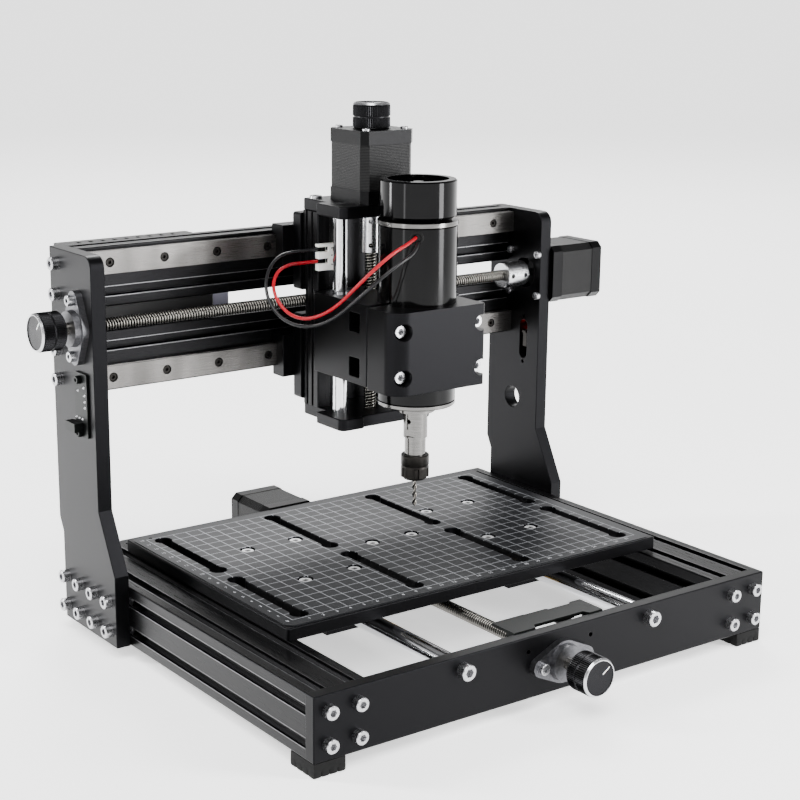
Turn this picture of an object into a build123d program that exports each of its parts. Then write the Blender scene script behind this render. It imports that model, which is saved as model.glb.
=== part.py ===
"""Desktop three-axis router: slotted-aluminium frame, screw-driven table, gantry and spindle.

Millimetres. X runs to the right, Y to the back, Z up. The origin is on the floor, under the middle
of the base frame. Every axis stands where the machine rests at its joint value 0.
"""
import os
from math import cos, pi, radians, sqrt, tan

from build123d import *

os.makedirs("parts", exist_ok=True)

# ---- driving dimensions ----
BASE_W, BASE_D = 360, 300          # base frame, outside the end plates
FOOT_H = 9                         # rubber feet
CELL = 20                          # pitch of the slotted extrusion
BAR = 2 * CELL                     # height of the side extrusions and end plates
END_T = 8                          # front and rear plates
SIDE_T = 10                        # gantry side plates
HALF_W, HALF_D = BASE_W / 2, BASE_D / 2
INNER_D = HALF_D - END_T           # inner face of an end plate
BASE_TOP = FOOT_H + BAR
CELLS_Z = (FOOT_H + 10, FOOT_H + 30)   # slot centres in the base extrusions
CELLS_X = (HALF_W - 30, HALF_W - 10)
GAP = 0.05                         # radial running and assembly clearance

TABLE_W, TABLE_D, TABLE_T = 300, 200, 8
TABLE_Y, TABLE_Z = 22, 51          # table centre and underside
ROD_X, ROD_Z, ROD_R = 75, 40, 6    # table rods
SCREW_R = 4                        # lead screws
Y_SCREW_Z = 29
BLOCK_Y = 35                       # table bearing blocks, either side of the table centre

BEAM_Y = 130                       # gantry extrusions, centre
BEAMS_Z = (185, 241)
RAILS_Z = (175, 251)
RAIL_FRONT, RAIL_W, RAIL_T = 114, 15, 6
RAIL_PITCH = 40
X_SCREW = (100, 214)               # y, z of the cross screw

CAR_X = 8                          # centre of the X carriage and spindle
PLATE_W = 66                       # carriage plates
COLUMN_TOP, COLUMN_BOTTOM = 277, 142.5
Z_PLATE_T = 8
Z_ROD_X, Z_ROD_Y, Z_ROD_R = 25, 60, 5
SLIDE_BOTTOM, SLIDE_TOP = 171, 225
SPINDLE_Y, SPINDLE_R = 8, 26
SLIDE_LEFT, SLIDE_RIGHT = CAR_X - 38, CAR_X + 38
CAP_LEFT, CAP_RIGHT = CAR_X - 41, CAR_X + 32

MOTOR_W, MOTOR_L, MOTOR_CAP = 42.3, 48, 9
MOTOR_HOLE = 31 / 2                # half of the motor's screw square
KNOB_R, KNOB_L = 12.5, 17

FRONT = Plane.XZ                   # sketches here see x to the right and z up; normal is -Y
SIDE = Plane.YZ                    # sketches here see y and z; normal is +X


def save(part, name):
    """Label a finished piece and write it."""
    part.part.label = name
    export_step(part.part, f"parts/{name}.step")


def slotted_section(cells_wide, cells_high):
    """Section of slotted extrusion about the sketch's current location."""
    wide, high = cells_wide * CELL, cells_high * CELL
    slot = [(3.1, 1), (3.1, -1.8), (5.5, -1.8), (5.5, -3), (2.8, -6)]
    slot += [(-x, y) for x, y in reversed(slot)]
    RectangleRounded(wide, high, 1)
    columns = [CELL * (i - (cells_wide - 1) / 2) for i in range(cells_wide)]
    rows = [CELL * (i - (cells_high - 1) / 2) for i in range(cells_high)]
    spots = [Location((x, high / 2, 0), (0, 0, 0)) for x in columns]
    spots += [Location((x, -high / 2, 0), (0, 0, 180)) for x in columns]
    spots += [Location((wide / 2, y, 0), (0, 0, -90)) for y in rows]
    spots += [Location((-wide / 2, y, 0), (0, 0, 90)) for y in rows]
    with Locations(*spots):
        Polygon(*slot, align=None, mode=Mode.SUBTRACT)
    with Locations(*[(x, y) for x in columns for y in rows]):
        Circle(2.5, mode=Mode.SUBTRACT)


def cap_screw(head, size, length):
    """Socket-head screw along local +Z: the head's seat is at 0 and the shank runs to -length."""
    head_d, head_h, key = head
    with BuildPart(mode=Mode.PRIVATE) as screw:
        with BuildSketch():
            Circle(head_d / 2)
        extrude(amount=head_h)
        chamfer(screw.edges().group_by(Axis.Z)[-1], 0.4)
        with BuildSketch(Plane.XY.offset(head_h)):
            RegularPolygon(key / 2 / cos(pi / 6), 6)
        extrude(amount=-head_h * 0.55, mode=Mode.SUBTRACT)
        with BuildSketch():
            Circle(size / 2)
        extrude(amount=-length)
    return screw.part


M3 = (5.5, 3, 2.5)
M4 = (7, 4, 3)
M5 = (8.5, 5, 4)
M6 = (10, 6, 5)


def screws_at(piece, places):
    """Copies of one piece at several planes, as separate solids."""
    return [piece.moved(plane.location) for plane in places]


def facing(axis, x, y, z):
    """Plane at a point whose normal points along the named axis."""
    normals = {"-x": (-1, 0, 0), "+x": (1, 0, 0), "-y": (0, -1, 0), "+y": (0, 1, 0),
               "-z": (0, 0, -1), "+z": (0, 0, 1)}
    side = (0, 1, 0) if axis[1] == "x" else (1, 0, 0)
    return Plane(origin=(x, y, z), x_dir=side, z_dir=normals[axis])


def group(name, solids):
    """Write several separate solids as one node."""
    bundle = Compound(children=solids)
    bundle.label = name
    export_step(bundle, f"parts/{name}.step")


MIRROR = (-1, 1)
CORNERS = [(sx, sy) for sx in MIRROR for sy in MIRROR]

# ======================= base frame =======================
side_bars = []
for sx in MIRROR:
    with BuildPart() as bar:
        with BuildSketch(FRONT.offset(-INNER_D)):
            with Locations((sx * (HALF_W - CELL), FOOT_H + CELL)):
                slotted_section(2, 2)
        extrude(amount=2 * INNER_D)
    side_bars.append(bar.part)
group("side_profiles", side_bars)

end_screw_spots = [(sx * x, z) for sx in MIRROR for x in CELLS_X for z in CELLS_Z]
rod_spots = [(sx * ROD_X, ROD_Z) for sx in MIRROR]


def end_plate(face_y, holes):
    """Front or rear plate with its outer face at face_y; holes are (x, z, radius)."""
    out = -1 if face_y < 0 else 1
    with BuildPart() as plate:
        with BuildSketch(FRONT.offset(-face_y)):
            with Locations((0, FOOT_H + BAR / 2)):
                RectangleRounded(BASE_W, BAR, 1)
            for x, z, radius in holes:
                with Locations((x, z)):
                    Circle(radius, mode=Mode.SUBTRACT)
            with Locations(*end_screw_spots):
                Circle(2.75, mode=Mode.SUBTRACT)
            with Locations(*rod_spots):
                Circle(3.25, mode=Mode.SUBTRACT)
        extrude(amount=out * END_T)
        outer = plate.faces().sort_by(Axis.Y)[0 if out < 0 else -1]
        chamfer(outer.outer_wire().edges(), 0.6)
    return plate


FLANGE_HOLE = 18
front_holes = [(0, Y_SCREW_Z, 6), (-25, 39.5, 1.5), (25, 39.5, 1.5)]
front_holes += [(sx * FLANGE_HOLE, Y_SCREW_Z, 2.2) for sx in MIRROR]
save(end_plate(-HALF_D, front_holes), "front_plate")

motor_corners = [(a * MOTOR_HOLE, b * MOTOR_HOLE) for a, b in CORNERS]
rear_holes = [(0, Y_SCREW_Z, 11.25)]
rear_holes += [(a, Y_SCREW_Z + b, 1.7) for a, b in motor_corners]
save(end_plate(HALF_D, rear_holes), "rear_plate")

feet = []
for sx, sy in CORNERS:
    with BuildPart() as foot:
        with BuildSketch():
            with Locations((sx * (HALF_W - 11), sy * (HALF_D - 12))):
                RectangleRounded(22, 24, 2)
        extrude(amount=FOOT_H)
        chamfer(foot.edges().group_by(Axis.Z)[0], 1.5)
        with BuildSketch(SIDE.offset(sx * (HALF_W - 11) - 12)):
            with Locations((sy * (HALF_D - 12), 0)):
                with Locations((-6, 0), (0, 0), (6, 0)):
                    Circle(1.2)
        extrude(amount=24, mode=Mode.SUBTRACT)
    feet.append(foot.part)
group("rubber_feet", feet)

rods = []
for x, z in rod_spots:
    with BuildPart() as rod:
        with BuildSketch(FRONT.offset(-INNER_D)):
            with Locations((x, z)):
                Circle(ROD_R)
        extrude(amount=2 * INNER_D)
        with BuildSketch(FRONT.offset(-INNER_D)):
            with Locations((x, z)):
                Circle(3.05)
        extrude(amount=16, mode=Mode.SUBTRACT)
        with BuildSketch(FRONT.offset(INNER_D)):
            with Locations((x, z)):
                Circle(3.05)
        extrude(amount=-16, mode=Mode.SUBTRACT)
    rods.append(rod.part)
group("y_rods", rods)

# ======================= gantry =======================
BASE_SCREWS_Y = (71, 91, 111, 131)
beam_screw_spots = [(BEAM_Y, z + dz) for z in BEAMS_Z for dz in (-10, 10)]
WINDOW_Y, WINDOW_Z = 99.5, 163     # limit-switch window in each side plate
BOARD_SCREW = 17.5                 # board screws, above and below the window's middle


def side_plate(sx, holes):
    """Gantry side plate; holes are (y, z, radius) besides the common ones."""
    with BuildPart() as plate:
        with BuildSketch(SIDE.offset(sx * HALF_W)) as outline:
            with BuildLine():
                Polyline((62.5, FOOT_H), (135, FOOT_H), (135, 69), (140, 79), (140, 261),
                         (82.5, 261), (82.5, 96), (62.5, 57), close=True)
            make_face()
            top_front = outline.vertices().group_by(Axis.Y)[-1].sort_by(Axis.X)[0]
            fillet(top_front, 8)
            base_spots = [(y, z) for y in BASE_SCREWS_Y for z in CELLS_Z]
            with Locations(*base_spots, *beam_screw_spots):
                Circle(2.75, mode=Mode.SUBTRACT)
            with Locations((WINDOW_Y, WINDOW_Z)):
                SlotOverall(30, 8.5, rotation=90, mode=Mode.SUBTRACT)
            with Locations((WINDOW_Y, WINDOW_Z - BOARD_SCREW), (WINDOW_Y, WINDOW_Z + BOARD_SCREW)):
                Circle(1.5, mode=Mode.SUBTRACT)
            for y, z, radius in holes:
                with Locations((y, z)):
                    Circle(radius, mode=Mode.SUBTRACT)
        extrude(amount=sx * SIDE_T)
        for end in (0, -1):
            face = plate.faces().sort_by(Axis.X)[end]
            chamfer(face.outer_wire().edges(), 0.3)
    return plate


screw_y, screw_z = X_SCREW
left_holes = [(screw_y, screw_z, 6)]
left_holes += [(screw_y, screw_z + s * FLANGE_HOLE, 2.2) for s in MIRROR]
save(side_plate(-1, left_holes), "side_plate_left")
right_holes = [(screw_y, screw_z, 11.25), (111, 115.6, 8.25)]
right_holes += [(screw_y + a, screw_z + b, 1.55) for a, b in motor_corners]
save(side_plate(1, right_holes), "side_plate_right")

beams = []
for z in BEAMS_Z:
    with BuildPart() as beam:
        with BuildSketch(SIDE.offset(-HALF_W)):
            with Locations((BEAM_Y, z)):
                slotted_section(1, 2)
        extrude(amount=BASE_W)
    beams.append(beam.part)
group("gantry_beams", beams)

rail_hole_x = [RAIL_PITCH * i for i in range(-4, 5)]
rails = []
for z in RAILS_Z:
    with BuildPart() as rail:
        with BuildSketch(SIDE.offset(-HALF_W)):
            with Locations((RAIL_FRONT + RAIL_T / 2, z)):
                Rectangle(RAIL_T, RAIL_W)
            with Locations((RAIL_FRONT + 2.6, z - RAIL_W / 2), (RAIL_FRONT + 2.6, z + RAIL_W / 2)):
                Circle(1.1, mode=Mode.SUBTRACT)
        extrude(amount=BASE_W)
        with BuildSketch(FRONT.offset(-RAIL_FRONT)):
            with Locations(*[(x, z) for x in rail_hole_x]):
                Circle(3.2)
        extrude(amount=-3.6, mode=Mode.SUBTRACT)
        with BuildSketch(FRONT.offset(-RAIL_FRONT)):
            with Locations(*[(x, z) for x in rail_hole_x]):
                Circle(1.8)
        extrude(amount=-RAIL_T, mode=Mode.SUBTRACT)
    rails.append(rail.part)
group("x_rails", rails)

rail_seat = RAIL_FRONT + 3.6
rail_screw = cap_screw(M3, 3, 8)
rail_places = [facing("-y", x, rail_seat, z) for x in rail_hole_x for z in RAILS_Z]
group("rail_screws", screws_at(rail_screw, rail_places))

# ======================= frame fasteners =======================
end_screw = cap_screw(M5, 4.9, END_T + 14)
rod_screw = cap_screw(M6, 6, END_T + 12)
side_screw = cap_screw(M5, 4.9, SIDE_T + 5)
beam_screw = cap_screw(M5, 4.9, SIDE_T + 16)
flange_screw = cap_screw(M4, 4, 12)
motor_screw = cap_screw(M3, 3, 8)
FLANGE_T = 4.5

fasteners = []
for sy, axis in ((-1, "-y"), (1, "+y")):
    fasteners += screws_at(end_screw, [facing(axis, x, sy * HALF_D, z) for x, z in end_screw_spots])
    fasteners += screws_at(rod_screw, [facing(axis, x, sy * HALF_D, z) for x, z in rod_spots])
for sx, axis in ((-1, "-x"), (1, "+x")):
    outer_x = sx * (HALF_W + SIDE_T)
    base_places = [facing(axis, outer_x, y, z) for y in BASE_SCREWS_Y for z in CELLS_Z]
    fasteners += screws_at(side_screw, base_places)
    fasteners += screws_at(beam_screw, [facing(axis, outer_x, y, z) for y, z in beam_screw_spots])
y_flange_face = -HALF_D - FLANGE_T
x_flange_face = -HALF_W - SIDE_T - FLANGE_T
fasteners += screws_at(flange_screw, [facing("-y", s * FLANGE_HOLE, y_flange_face, Y_SCREW_Z)
                                      for s in MIRROR])
fasteners += screws_at(flange_screw, [facing("-x", x_flange_face, screw_y, screw_z + s * FLANGE_HOLE)
                                      for s in MIRROR])
fasteners += screws_at(motor_screw, [facing("-x", HALF_W, screw_y + a, screw_z + b)
                                     for a, b in motor_corners])
fasteners += screws_at(motor_screw, [facing("-y", a, INNER_D, Y_SCREW_Z + b)
                                     for a, b in motor_corners])

with BuildPart() as slot_nut:       # T-nut: local +Z points out of its slot
    with BuildSketch(Plane.XY.offset(-5.2)):
        Rectangle(10, 6)
    extrude(amount=1.4, taper=-30)
    with BuildSketch(Plane.XY.offset(-3.8)):
        Rectangle(10, 9.2)
    extrude(amount=1.9)
    with BuildSketch(Plane.XY.offset(-5.2)):
        Circle(2.55)
    extrude(amount=4, mode=Mode.SUBTRACT)
nut_places = [facing(axis, sx * HALF_W, y, z) for sx, axis in ((-1, "-x"), (1, "+x"))
              for y in BASE_SCREWS_Y for z in CELLS_Z]
rail_nut_places = [facing("-y", x, BEAM_Y - 10, z) for x in rail_hole_x for z in RAILS_Z]
fasteners += screws_at(slot_nut.part, nut_places + rail_nut_places)
group("frame_screws", fasteners)


# ======================= drives: bearings, screws, couplings, motors, knobs =======================
def flange_bearing(plane):
    """Diamond flange bearing with its foot on the plane; the boss rises along +Z."""
    with BuildPart(plane, mode=Mode.PRIVATE) as bearing:
        with BuildSketch(plane):
            with BuildLine():
                ear_r, boss_r = 6, 13.5
                lean = (boss_r - ear_r) / FLANGE_HOLE
                tilt = sqrt(1 - lean * lean)
                ear = (FLANGE_HOLE + ear_r * lean, ear_r * tilt)
                boss = (boss_r * lean, boss_r * tilt)
                Line(boss, ear)
                ThreePointArc(ear, (FLANGE_HOLE + ear_r, 0), (ear[0], -ear[1]))
                Line((ear[0], -ear[1]), (boss[0], -boss[1]))
                ThreePointArc((boss[0], -boss[1]), (0, -boss_r), (-boss[0], -boss[1]))
                Line((-boss[0], -boss[1]), (-ear[0], -ear[1]))
                ThreePointArc((-ear[0], -ear[1]), (-FLANGE_HOLE - ear_r, 0), (-ear[0], ear[1]))
                Line((-ear[0], ear[1]), (-boss[0], boss[1]))
                ThreePointArc((-boss[0], boss[1]), (0, boss_r), boss)
            make_face()
            with Locations((-FLANGE_HOLE, 0), (FLANGE_HOLE, 0)):
                Circle(2.3, mode=Mode.SUBTRACT)
        extrude(amount=FLANGE_T)
        with BuildSketch(plane.offset(FLANGE_T)):
            Circle(12)
        extrude(amount=4, taper=8)
        with BuildSketch(plane):
            Circle(SCREW_R + GAP)
        extrude(amount=12, mode=Mode.SUBTRACT)
    return bearing.part


front_face = Plane(origin=(0, -HALF_D, Y_SCREW_Z), x_dir=(1, 0, 0), z_dir=(0, -1, 0))
left_face = Plane(origin=(-HALF_W - SIDE_T, screw_y, screw_z), x_dir=(0, 0, 1), z_dir=(-1, 0, 0))
group("flange_bearings", [flange_bearing(front_face), flange_bearing(left_face)])


def stepper(plane):
    """Square stepper motor with its mounting face on the plane, body along +Z."""
    pieces = []
    stack = MOTOR_L - 2 * MOTOR_CAP
    for start, tall, size, corner in ((0, MOTOR_CAP, MOTOR_W, 4), (MOTOR_CAP, stack, MOTOR_W - 0.6, 4.5),
                                      (MOTOR_CAP + stack, MOTOR_CAP, MOTOR_W, 4)):
        with BuildPart(mode=Mode.PRIVATE) as section:
            with BuildSketch(plane.offset(start)) as square:
                Rectangle(size, size)
                chamfer(square.vertices(), corner)
                Circle(2.5 + GAP, mode=Mode.SUBTRACT)
                if start == 0:
                    with Locations(*motor_corners):
                        Circle(1.55, mode=Mode.SUBTRACT)
            extrude(amount=tall)
            if start == 0:
                with BuildSketch(plane):
                    Circle(11)
                    Circle(2.5 + GAP, mode=Mode.SUBTRACT)
                extrude(amount=-2)
        pieces.append(section.part)
    return pieces


x_motor_plane = Plane(origin=(HALF_W + SIDE_T, screw_y, screw_z), x_dir=(0, 1, 0), z_dir=(1, 0, 0))
y_motor_plane = Plane(origin=(0, HALF_D, Y_SCREW_Z), x_dir=(1, 0, 0), z_dir=(0, 1, 0))
z_motor_plane = Plane(origin=(CAR_X, Z_ROD_Y, COLUMN_TOP + Z_PLATE_T))
group("x_motor", stepper(x_motor_plane))
group("y_motor", stepper(y_motor_plane))
group("z_motor", stepper(z_motor_plane))


def lead_screw(name, plane, length):
    """Plain cylinder at the thread's outside diameter, from the plane along +Z."""
    with BuildPart() as screw:
        with BuildSketch(plane):
            Circle(SCREW_R)
        extrude(amount=length)
        chamfer(screw.edges(), 0.5)
    save(screw, name)


def coupling(name, plane, radius, length, shaft_from, shaft_to):
    """Rigid coupling from the plane along +Z, its two radial screws, and the motor shaft in it."""
    screw_depth = length * 0.46
    with BuildPart() as sleeve:
        with BuildSketch(plane):
            Circle(radius)
        extrude(amount=length)
        chamfer(sleeve.edges(), 0.6)
        with BuildSketch(plane):
            Circle(SCREW_R)
        extrude(amount=screw_depth, mode=Mode.SUBTRACT)
        with BuildSketch(plane):
            Circle(2.5)
        extrude(amount=length, mode=Mode.SUBTRACT)
        for at in (length * 0.2, length * 0.8):
            radial = Plane(origin=(plane.origin + plane.z_dir * at), x_dir=plane.z_dir,
                           z_dir=plane.x_dir)
            with BuildSketch(radial):
                Circle(1.7)
            extrude(amount=radius + 1, mode=Mode.SUBTRACT)
    with BuildPart() as shaft:
        with BuildSketch(plane.offset(shaft_from)):
            Circle(2.5)
        extrude(amount=shaft_to - shaft_from)
    group(name, [sleeve.part, shaft.part])


def knob(name, plane, shaft_depth):
    """Hand knob from the plane along +Z, bored for a shaft."""
    bore, depth = shaft_depth
    with BuildPart() as grip:
        with BuildSketch(plane):
            Circle(KNOB_R)
        extrude(amount=KNOB_L)
        chamfer(grip.edges(), 0.8)
        with BuildSketch(plane):
            Circle(bore)
        extrude(amount=depth, mode=Mode.SUBTRACT)
    save(grip, name)


Y_KNOB_FACE, X_KNOB_FACE = -186, -221
y_knob_back, x_knob_back = Y_KNOB_FACE + KNOB_L, X_KNOB_FACE + KNOB_L
Y_COUPLING_L, X_COUPLING_L, Z_COUPLING_L = 20, 20, 27

y_screw_start, y_screw_end = y_knob_back - 10, INNER_D - Y_COUPLING_L * 0.54 - 4
lead_screw("y_lead_screw", Plane(origin=(0, y_screw_start, Y_SCREW_Z), z_dir=(0, 1, 0)),
           y_screw_end - y_screw_start)
y_coupling_start = y_screw_end - Y_COUPLING_L * 0.46
coupling("y_coupling", Plane(origin=(0, y_coupling_start, Y_SCREW_Z), x_dir=(0, 0, 1), z_dir=(0, 1, 0)),
         9.5, Y_COUPLING_L, Y_COUPLING_L * 0.46, HALF_D + MOTOR_L - 1 - y_coupling_start)
knob("y_knob", Plane(origin=(0, y_knob_back, Y_SCREW_Z), z_dir=(0, -1, 0)), (SCREW_R, 10))

x_screw_start, x_screw_end = x_knob_back - 10, 166.2
lead_screw("x_lead_screw", Plane(origin=(x_screw_start, screw_y, screw_z), z_dir=(1, 0, 0)),
           x_screw_end - x_screw_start)
x_coupling_start = 157
coupling("x_coupling", Plane(origin=(x_coupling_start, screw_y, screw_z), x_dir=(0, -1, 0), z_dir=(1, 0, 0)),
         9.5, X_COUPLING_L, X_COUPLING_L * 0.46, HALF_W + SIDE_T + MOTOR_L - 1 - x_coupling_start)
knob("x_knob", Plane(origin=(x_knob_back, screw_y, screw_z), z_dir=(-1, 0, 0)), (SCREW_R, 10))

z_screw_start = COLUMN_BOTTOM - 6
z_coupling_start = COLUMN_TOP - Z_COUPLING_L
z_screw_end = z_coupling_start + Z_COUPLING_L * 0.46
z_motor_top = COLUMN_TOP + Z_PLATE_T + MOTOR_L - 1
lead_screw("z_lead_screw", Plane(origin=(CAR_X, Z_ROD_Y, z_screw_start)), z_screw_end - z_screw_start)
coupling("z_coupling", Plane(origin=(CAR_X, Z_ROD_Y, z_coupling_start), x_dir=(-0.7, -1, 0), z_dir=(0, 0, 1)),
         7, Z_COUPLING_L, Z_COUPLING_L * 0.46, z_motor_top + 13 - z_coupling_start)
knob("z_knob", Plane(origin=(CAR_X, Z_ROD_Y, z_motor_top + 1)), (2.5, 12))

# ======================= limit switches, control box =======================
BOARD_Y, BOARD_Z = 98.5, 164
BOARD_T = 1.6


def micro_switch(plane):
    """Small limit switch with its foot on the plane and its actuator side along +Z."""
    with BuildPart(mode=Mode.PRIVATE) as body:
        with BuildSketch(plane):
            Rectangle(13, 6)
        extrude(amount=6.5)
    return body.part


boards = []
for sx in MIRROR:
    outside = sx * (HALF_W + SIDE_T)
    with BuildPart() as board:
        with BuildSketch(SIDE.offset(outside)):
            with Locations((BOARD_Y, BOARD_Z)):
                RectangleRounded(17, 42, 1.5)
            with Locations((WINDOW_Y, WINDOW_Z - BOARD_SCREW), (WINDOW_Y, WINDOW_Z + BOARD_SCREW)):
                Circle(1.5, mode=Mode.SUBTRACT)
        extrude(amount=sx * BOARD_T)
    boards.append(board.part)
    with BuildPart() as plug:
        with BuildSketch(SIDE.offset(outside + sx * BOARD_T)):
            with Locations((BOARD_Y + 5, 149.5)):
                Rectangle(13, 6)
        extrude(amount=sx * 6)
    boards.append(plug.part)
    inward = Plane(origin=(outside - sx * 0.05, WINDOW_Y, WINDOW_Z), x_dir=(0, 0, 1), z_dir=(-sx, 0, 0))
    boards.append(micro_switch(inward))
    boards += screws_at(cap_screw(M3, 2.8, 9), [
        facing("-x" if sx < 0 else "+x", outside + sx * BOARD_T, WINDOW_Y, WINDOW_Z + dz)
        for dz in (-BOARD_SCREW, BOARD_SCREW)])
Y_BOARD_TOP = 50
with BuildPart() as front_board:
    with BuildSketch(Plane.XY.offset(Y_BOARD_TOP - 2)):
        with BuildLine():
            Polyline((-30, -121), (-30, -INNER_D), (-13, -INNER_D), (-11, -138), (29, -138),
                     (31, -INNER_D), (42, -INNER_D), (42, -121), (33, -121), (32, -123),
                     (14, -123), (13, -121.5), (-4, -121.5), (-5, -121), close=True)
        make_face()
    extrude(amount=2)
boards.append(front_board.part)
y_switch_plane = Plane(origin=(26, -124, Y_BOARD_TOP - 2), x_dir=(1, 0, 0), z_dir=(0, 0, -1))
boards.append(micro_switch(y_switch_plane))
with BuildPart() as board_post:      # holds the front board to the front plate
    with BuildSketch(Plane.XY.offset(Y_BOARD_TOP - 12)):
        with Locations((-25, -INNER_D + 4), (36, -INNER_D + 4)):
            Rectangle(8, 8)
    extrude(amount=10)
boards += board_post.solids()
group("limit_boards", boards)


def lever(name, pivot, along, out):
    """Switch lever: a thin blade from the pivot along one direction, standing off along out."""
    blade = Plane(origin=pivot, x_dir=along, z_dir=out)
    with BuildPart() as arm:
        with BuildSketch(blade):
            with Locations((5.5, 0)):
                Rectangle(12, 4)
        extrude(amount=0.4)
        with BuildSketch(blade):
            with Locations((11, 0)):
                Rectangle(1.6, 4)
        extrude(amount=1.6)
    save(arm, name)


LEVER_OFF = 1.5                      # stands this far off the switch body
switch_inner = HALF_W + SIDE_T - 0.05 - 6.5
for sx, name in ((-1, "x_limit_lever_left"), (1, "x_limit_lever_right")):
    lever(name, (sx * (switch_inner - LEVER_OFF), WINDOW_Y, WINDOW_Z - 5.5), (0, 0, 1), (-sx, 0, 0))
lever("y_limit_lever", (20.5, -124, Y_BOARD_TOP - 2 - 6.5 - LEVER_OFF), (1, 0, 0), (0, 0, -1))

with BuildPart() as control_box:
    with BuildSketch(Plane.XY.offset(170)):
        with Locations((-118, 160)):
            RectangleRounded(102, 38, 2)
    extrude(amount=86)
    with BuildSketch(Plane.XY.offset(170 + 86)):
        with Locations(*[(-118 + 9 * i, 160) for i in range(-4, 5)]):
            SlotOverall(26, 3, rotation=90)
    extrude(amount=-1.2, mode=Mode.SUBTRACT)
    with BuildSketch(SIDE.offset(-67)):
        with Locations((152, 213)):
            Rectangle(12, 14)
    extrude(amount=14.5)
save(control_box, "control_box")

# ======================= table =======================
SLOT_X = (43.6, 130.8)
SLOT_Y, SLOT_RUN = 47.2, 72
slot_spots = [(sx * x, TABLE_Y + sy * SLOT_Y) for sx in MIRROR for x in SLOT_X for sy in MIRROR]
BLOCK_HOLE_X, BLOCK_HOLE_Y = 19, 34.7
table_screw_spots = [(sx * ROD_X + dx * BLOCK_HOLE_X, TABLE_Y + sy * BLOCK_HOLE_Y)
                     for sx in MIRROR for dx in MIRROR for sy in MIRROR]
table_screw_spots += [(sx * 16.5, TABLE_Y) for sx in MIRROR]


def slot_openings():
    """Clamping slots, each with a round end for a bolt head."""
    with Locations(*slot_spots):
        SlotCenterToCenter(SLOT_RUN, 8, rotation=90)
    with Locations(*[(x, y + s * SLOT_RUN / 2) for x, y in slot_spots for s in MIRROR]):
        Circle(6)


OVERLAY_T = 0.5
with BuildPart() as table_plate:
    with BuildSketch(Plane.XY.offset(TABLE_Z)):
        with Locations((0, TABLE_Y)):
            RectangleRounded(TABLE_W, TABLE_D, 1.5)
    extrude(amount=TABLE_T)
    chamfer(table_plate.faces().sort_by(Axis.Z)[-1].edges(), 0.6)
    with BuildSketch(Plane.XY.offset(TABLE_Z)):
        slot_openings()
    extrude(amount=TABLE_T, mode=Mode.SUBTRACT)
    with BuildSketch(Plane.XY.offset(TABLE_Z)):
        with Locations(*table_screw_spots):
            Circle(2.6)
    extrude(amount=TABLE_T, mode=Mode.SUBTRACT)
    with BuildSketch(Plane.XY.offset(TABLE_Z + TABLE_T)):
        with Locations(*table_screw_spots):
            Circle(5.3)
    extrude(amount=-5.3, mode=Mode.SUBTRACT)
save(table_plate, "table_plate")

with BuildPart() as table_overlay:
    with BuildSketch(Plane.XY.offset(TABLE_Z + TABLE_T)):
        with Locations((0, TABLE_Y)):
            RectangleRounded(TABLE_W - 4, TABLE_D - 4, 6)
    extrude(amount=OVERLAY_T)
    with BuildSketch(Plane.XY.offset(TABLE_Z + TABLE_T)):
        slot_openings()
        with Locations(*table_screw_spots):
            Circle(5.3)
        with Locations((-136, TABLE_Y + 92)):
            Circle(1.2)
    extrude(amount=OVERLAY_T, mode=Mode.SUBTRACT)
save(table_overlay, "table_overlay")

table_screw = cap_screw(M5, 4.9, 12)
table_seat = TABLE_Z + TABLE_T - 5.3
group("table_screws", screws_at(table_screw, [facing("+z", x, y, table_seat)
                                              for x, y in table_screw_spots]))

BLOCK_BOTTOM = ROD_Z - 14
blocks = []
for sx, sy in CORNERS:
    block_y = TABLE_Y + sy * BLOCK_Y
    with BuildPart() as block:
        with BuildSketch(FRONT.offset(-block_y - 18)):
            with Locations((sx * ROD_X, (BLOCK_BOTTOM + TABLE_Z) / 2)):
                Rectangle(30, TABLE_Z - BLOCK_BOTTOM)
            with Locations((sx * ROD_X, TABLE_Z - 5)):
                Rectangle(48, 10)
            with Locations((sx * ROD_X, ROD_Z)):
                Circle(10.5, mode=Mode.SUBTRACT)
        extrude(amount=36)
        with BuildSketch(Plane.XY.offset(TABLE_Z)):
            with Locations(*[(sx * ROD_X + dx * BLOCK_HOLE_X, TABLE_Y + sy * BLOCK_HOLE_Y)
                             for dx in MIRROR]):
                Circle(2.5)
        extrude(amount=-10, mode=Mode.SUBTRACT)
    blocks.append(block.part)
    with BuildPart() as bush:
        with BuildSketch(FRONT.offset(-block_y - 15)):
            with Locations((sx * ROD_X, ROD_Z)):
                Circle(10.5)
                Circle(ROD_R + GAP, mode=Mode.SUBTRACT)
        extrude(amount=30)
    blocks.append(bush.part)
group("y_bearing_blocks", blocks)

with BuildPart() as y_nut_block:
    with BuildSketch(FRONT.offset(-TABLE_Y - 14)):
        with Locations((0, (TABLE_Z + 15) / 2)):
            Rectangle(42, TABLE_Z - 15)
        with Locations((0, Y_SCREW_Z)):
            Circle(5.1, mode=Mode.SUBTRACT)
    extrude(amount=28)
    with BuildSketch(Plane.XY.offset(TABLE_Z)):
        with Locations((-16.5, TABLE_Y), (16.5, TABLE_Y)):
            Circle(2.5)
    extrude(amount=-12, mode=Mode.SUBTRACT)
save(y_nut_block, "y_nut_block")


def lead_nut(name, plane, length):
    """Flanged brass nut: flange on the plane, sleeve along -Z."""
    with BuildPart() as nut:
        with BuildSketch(plane):
            Circle(11)
            with PolarLocations(8, 4, start_angle=45):
                Circle(1.6, mode=Mode.SUBTRACT)
        extrude(amount=3.5)
        with BuildSketch(plane):
            Circle(5)
        extrude(amount=-length)
        with BuildSketch(plane.offset(3.5)):
            Circle(SCREW_R + GAP)
        extrude(amount=-length - 3.5, mode=Mode.SUBTRACT)
    save(nut, name)


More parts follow.
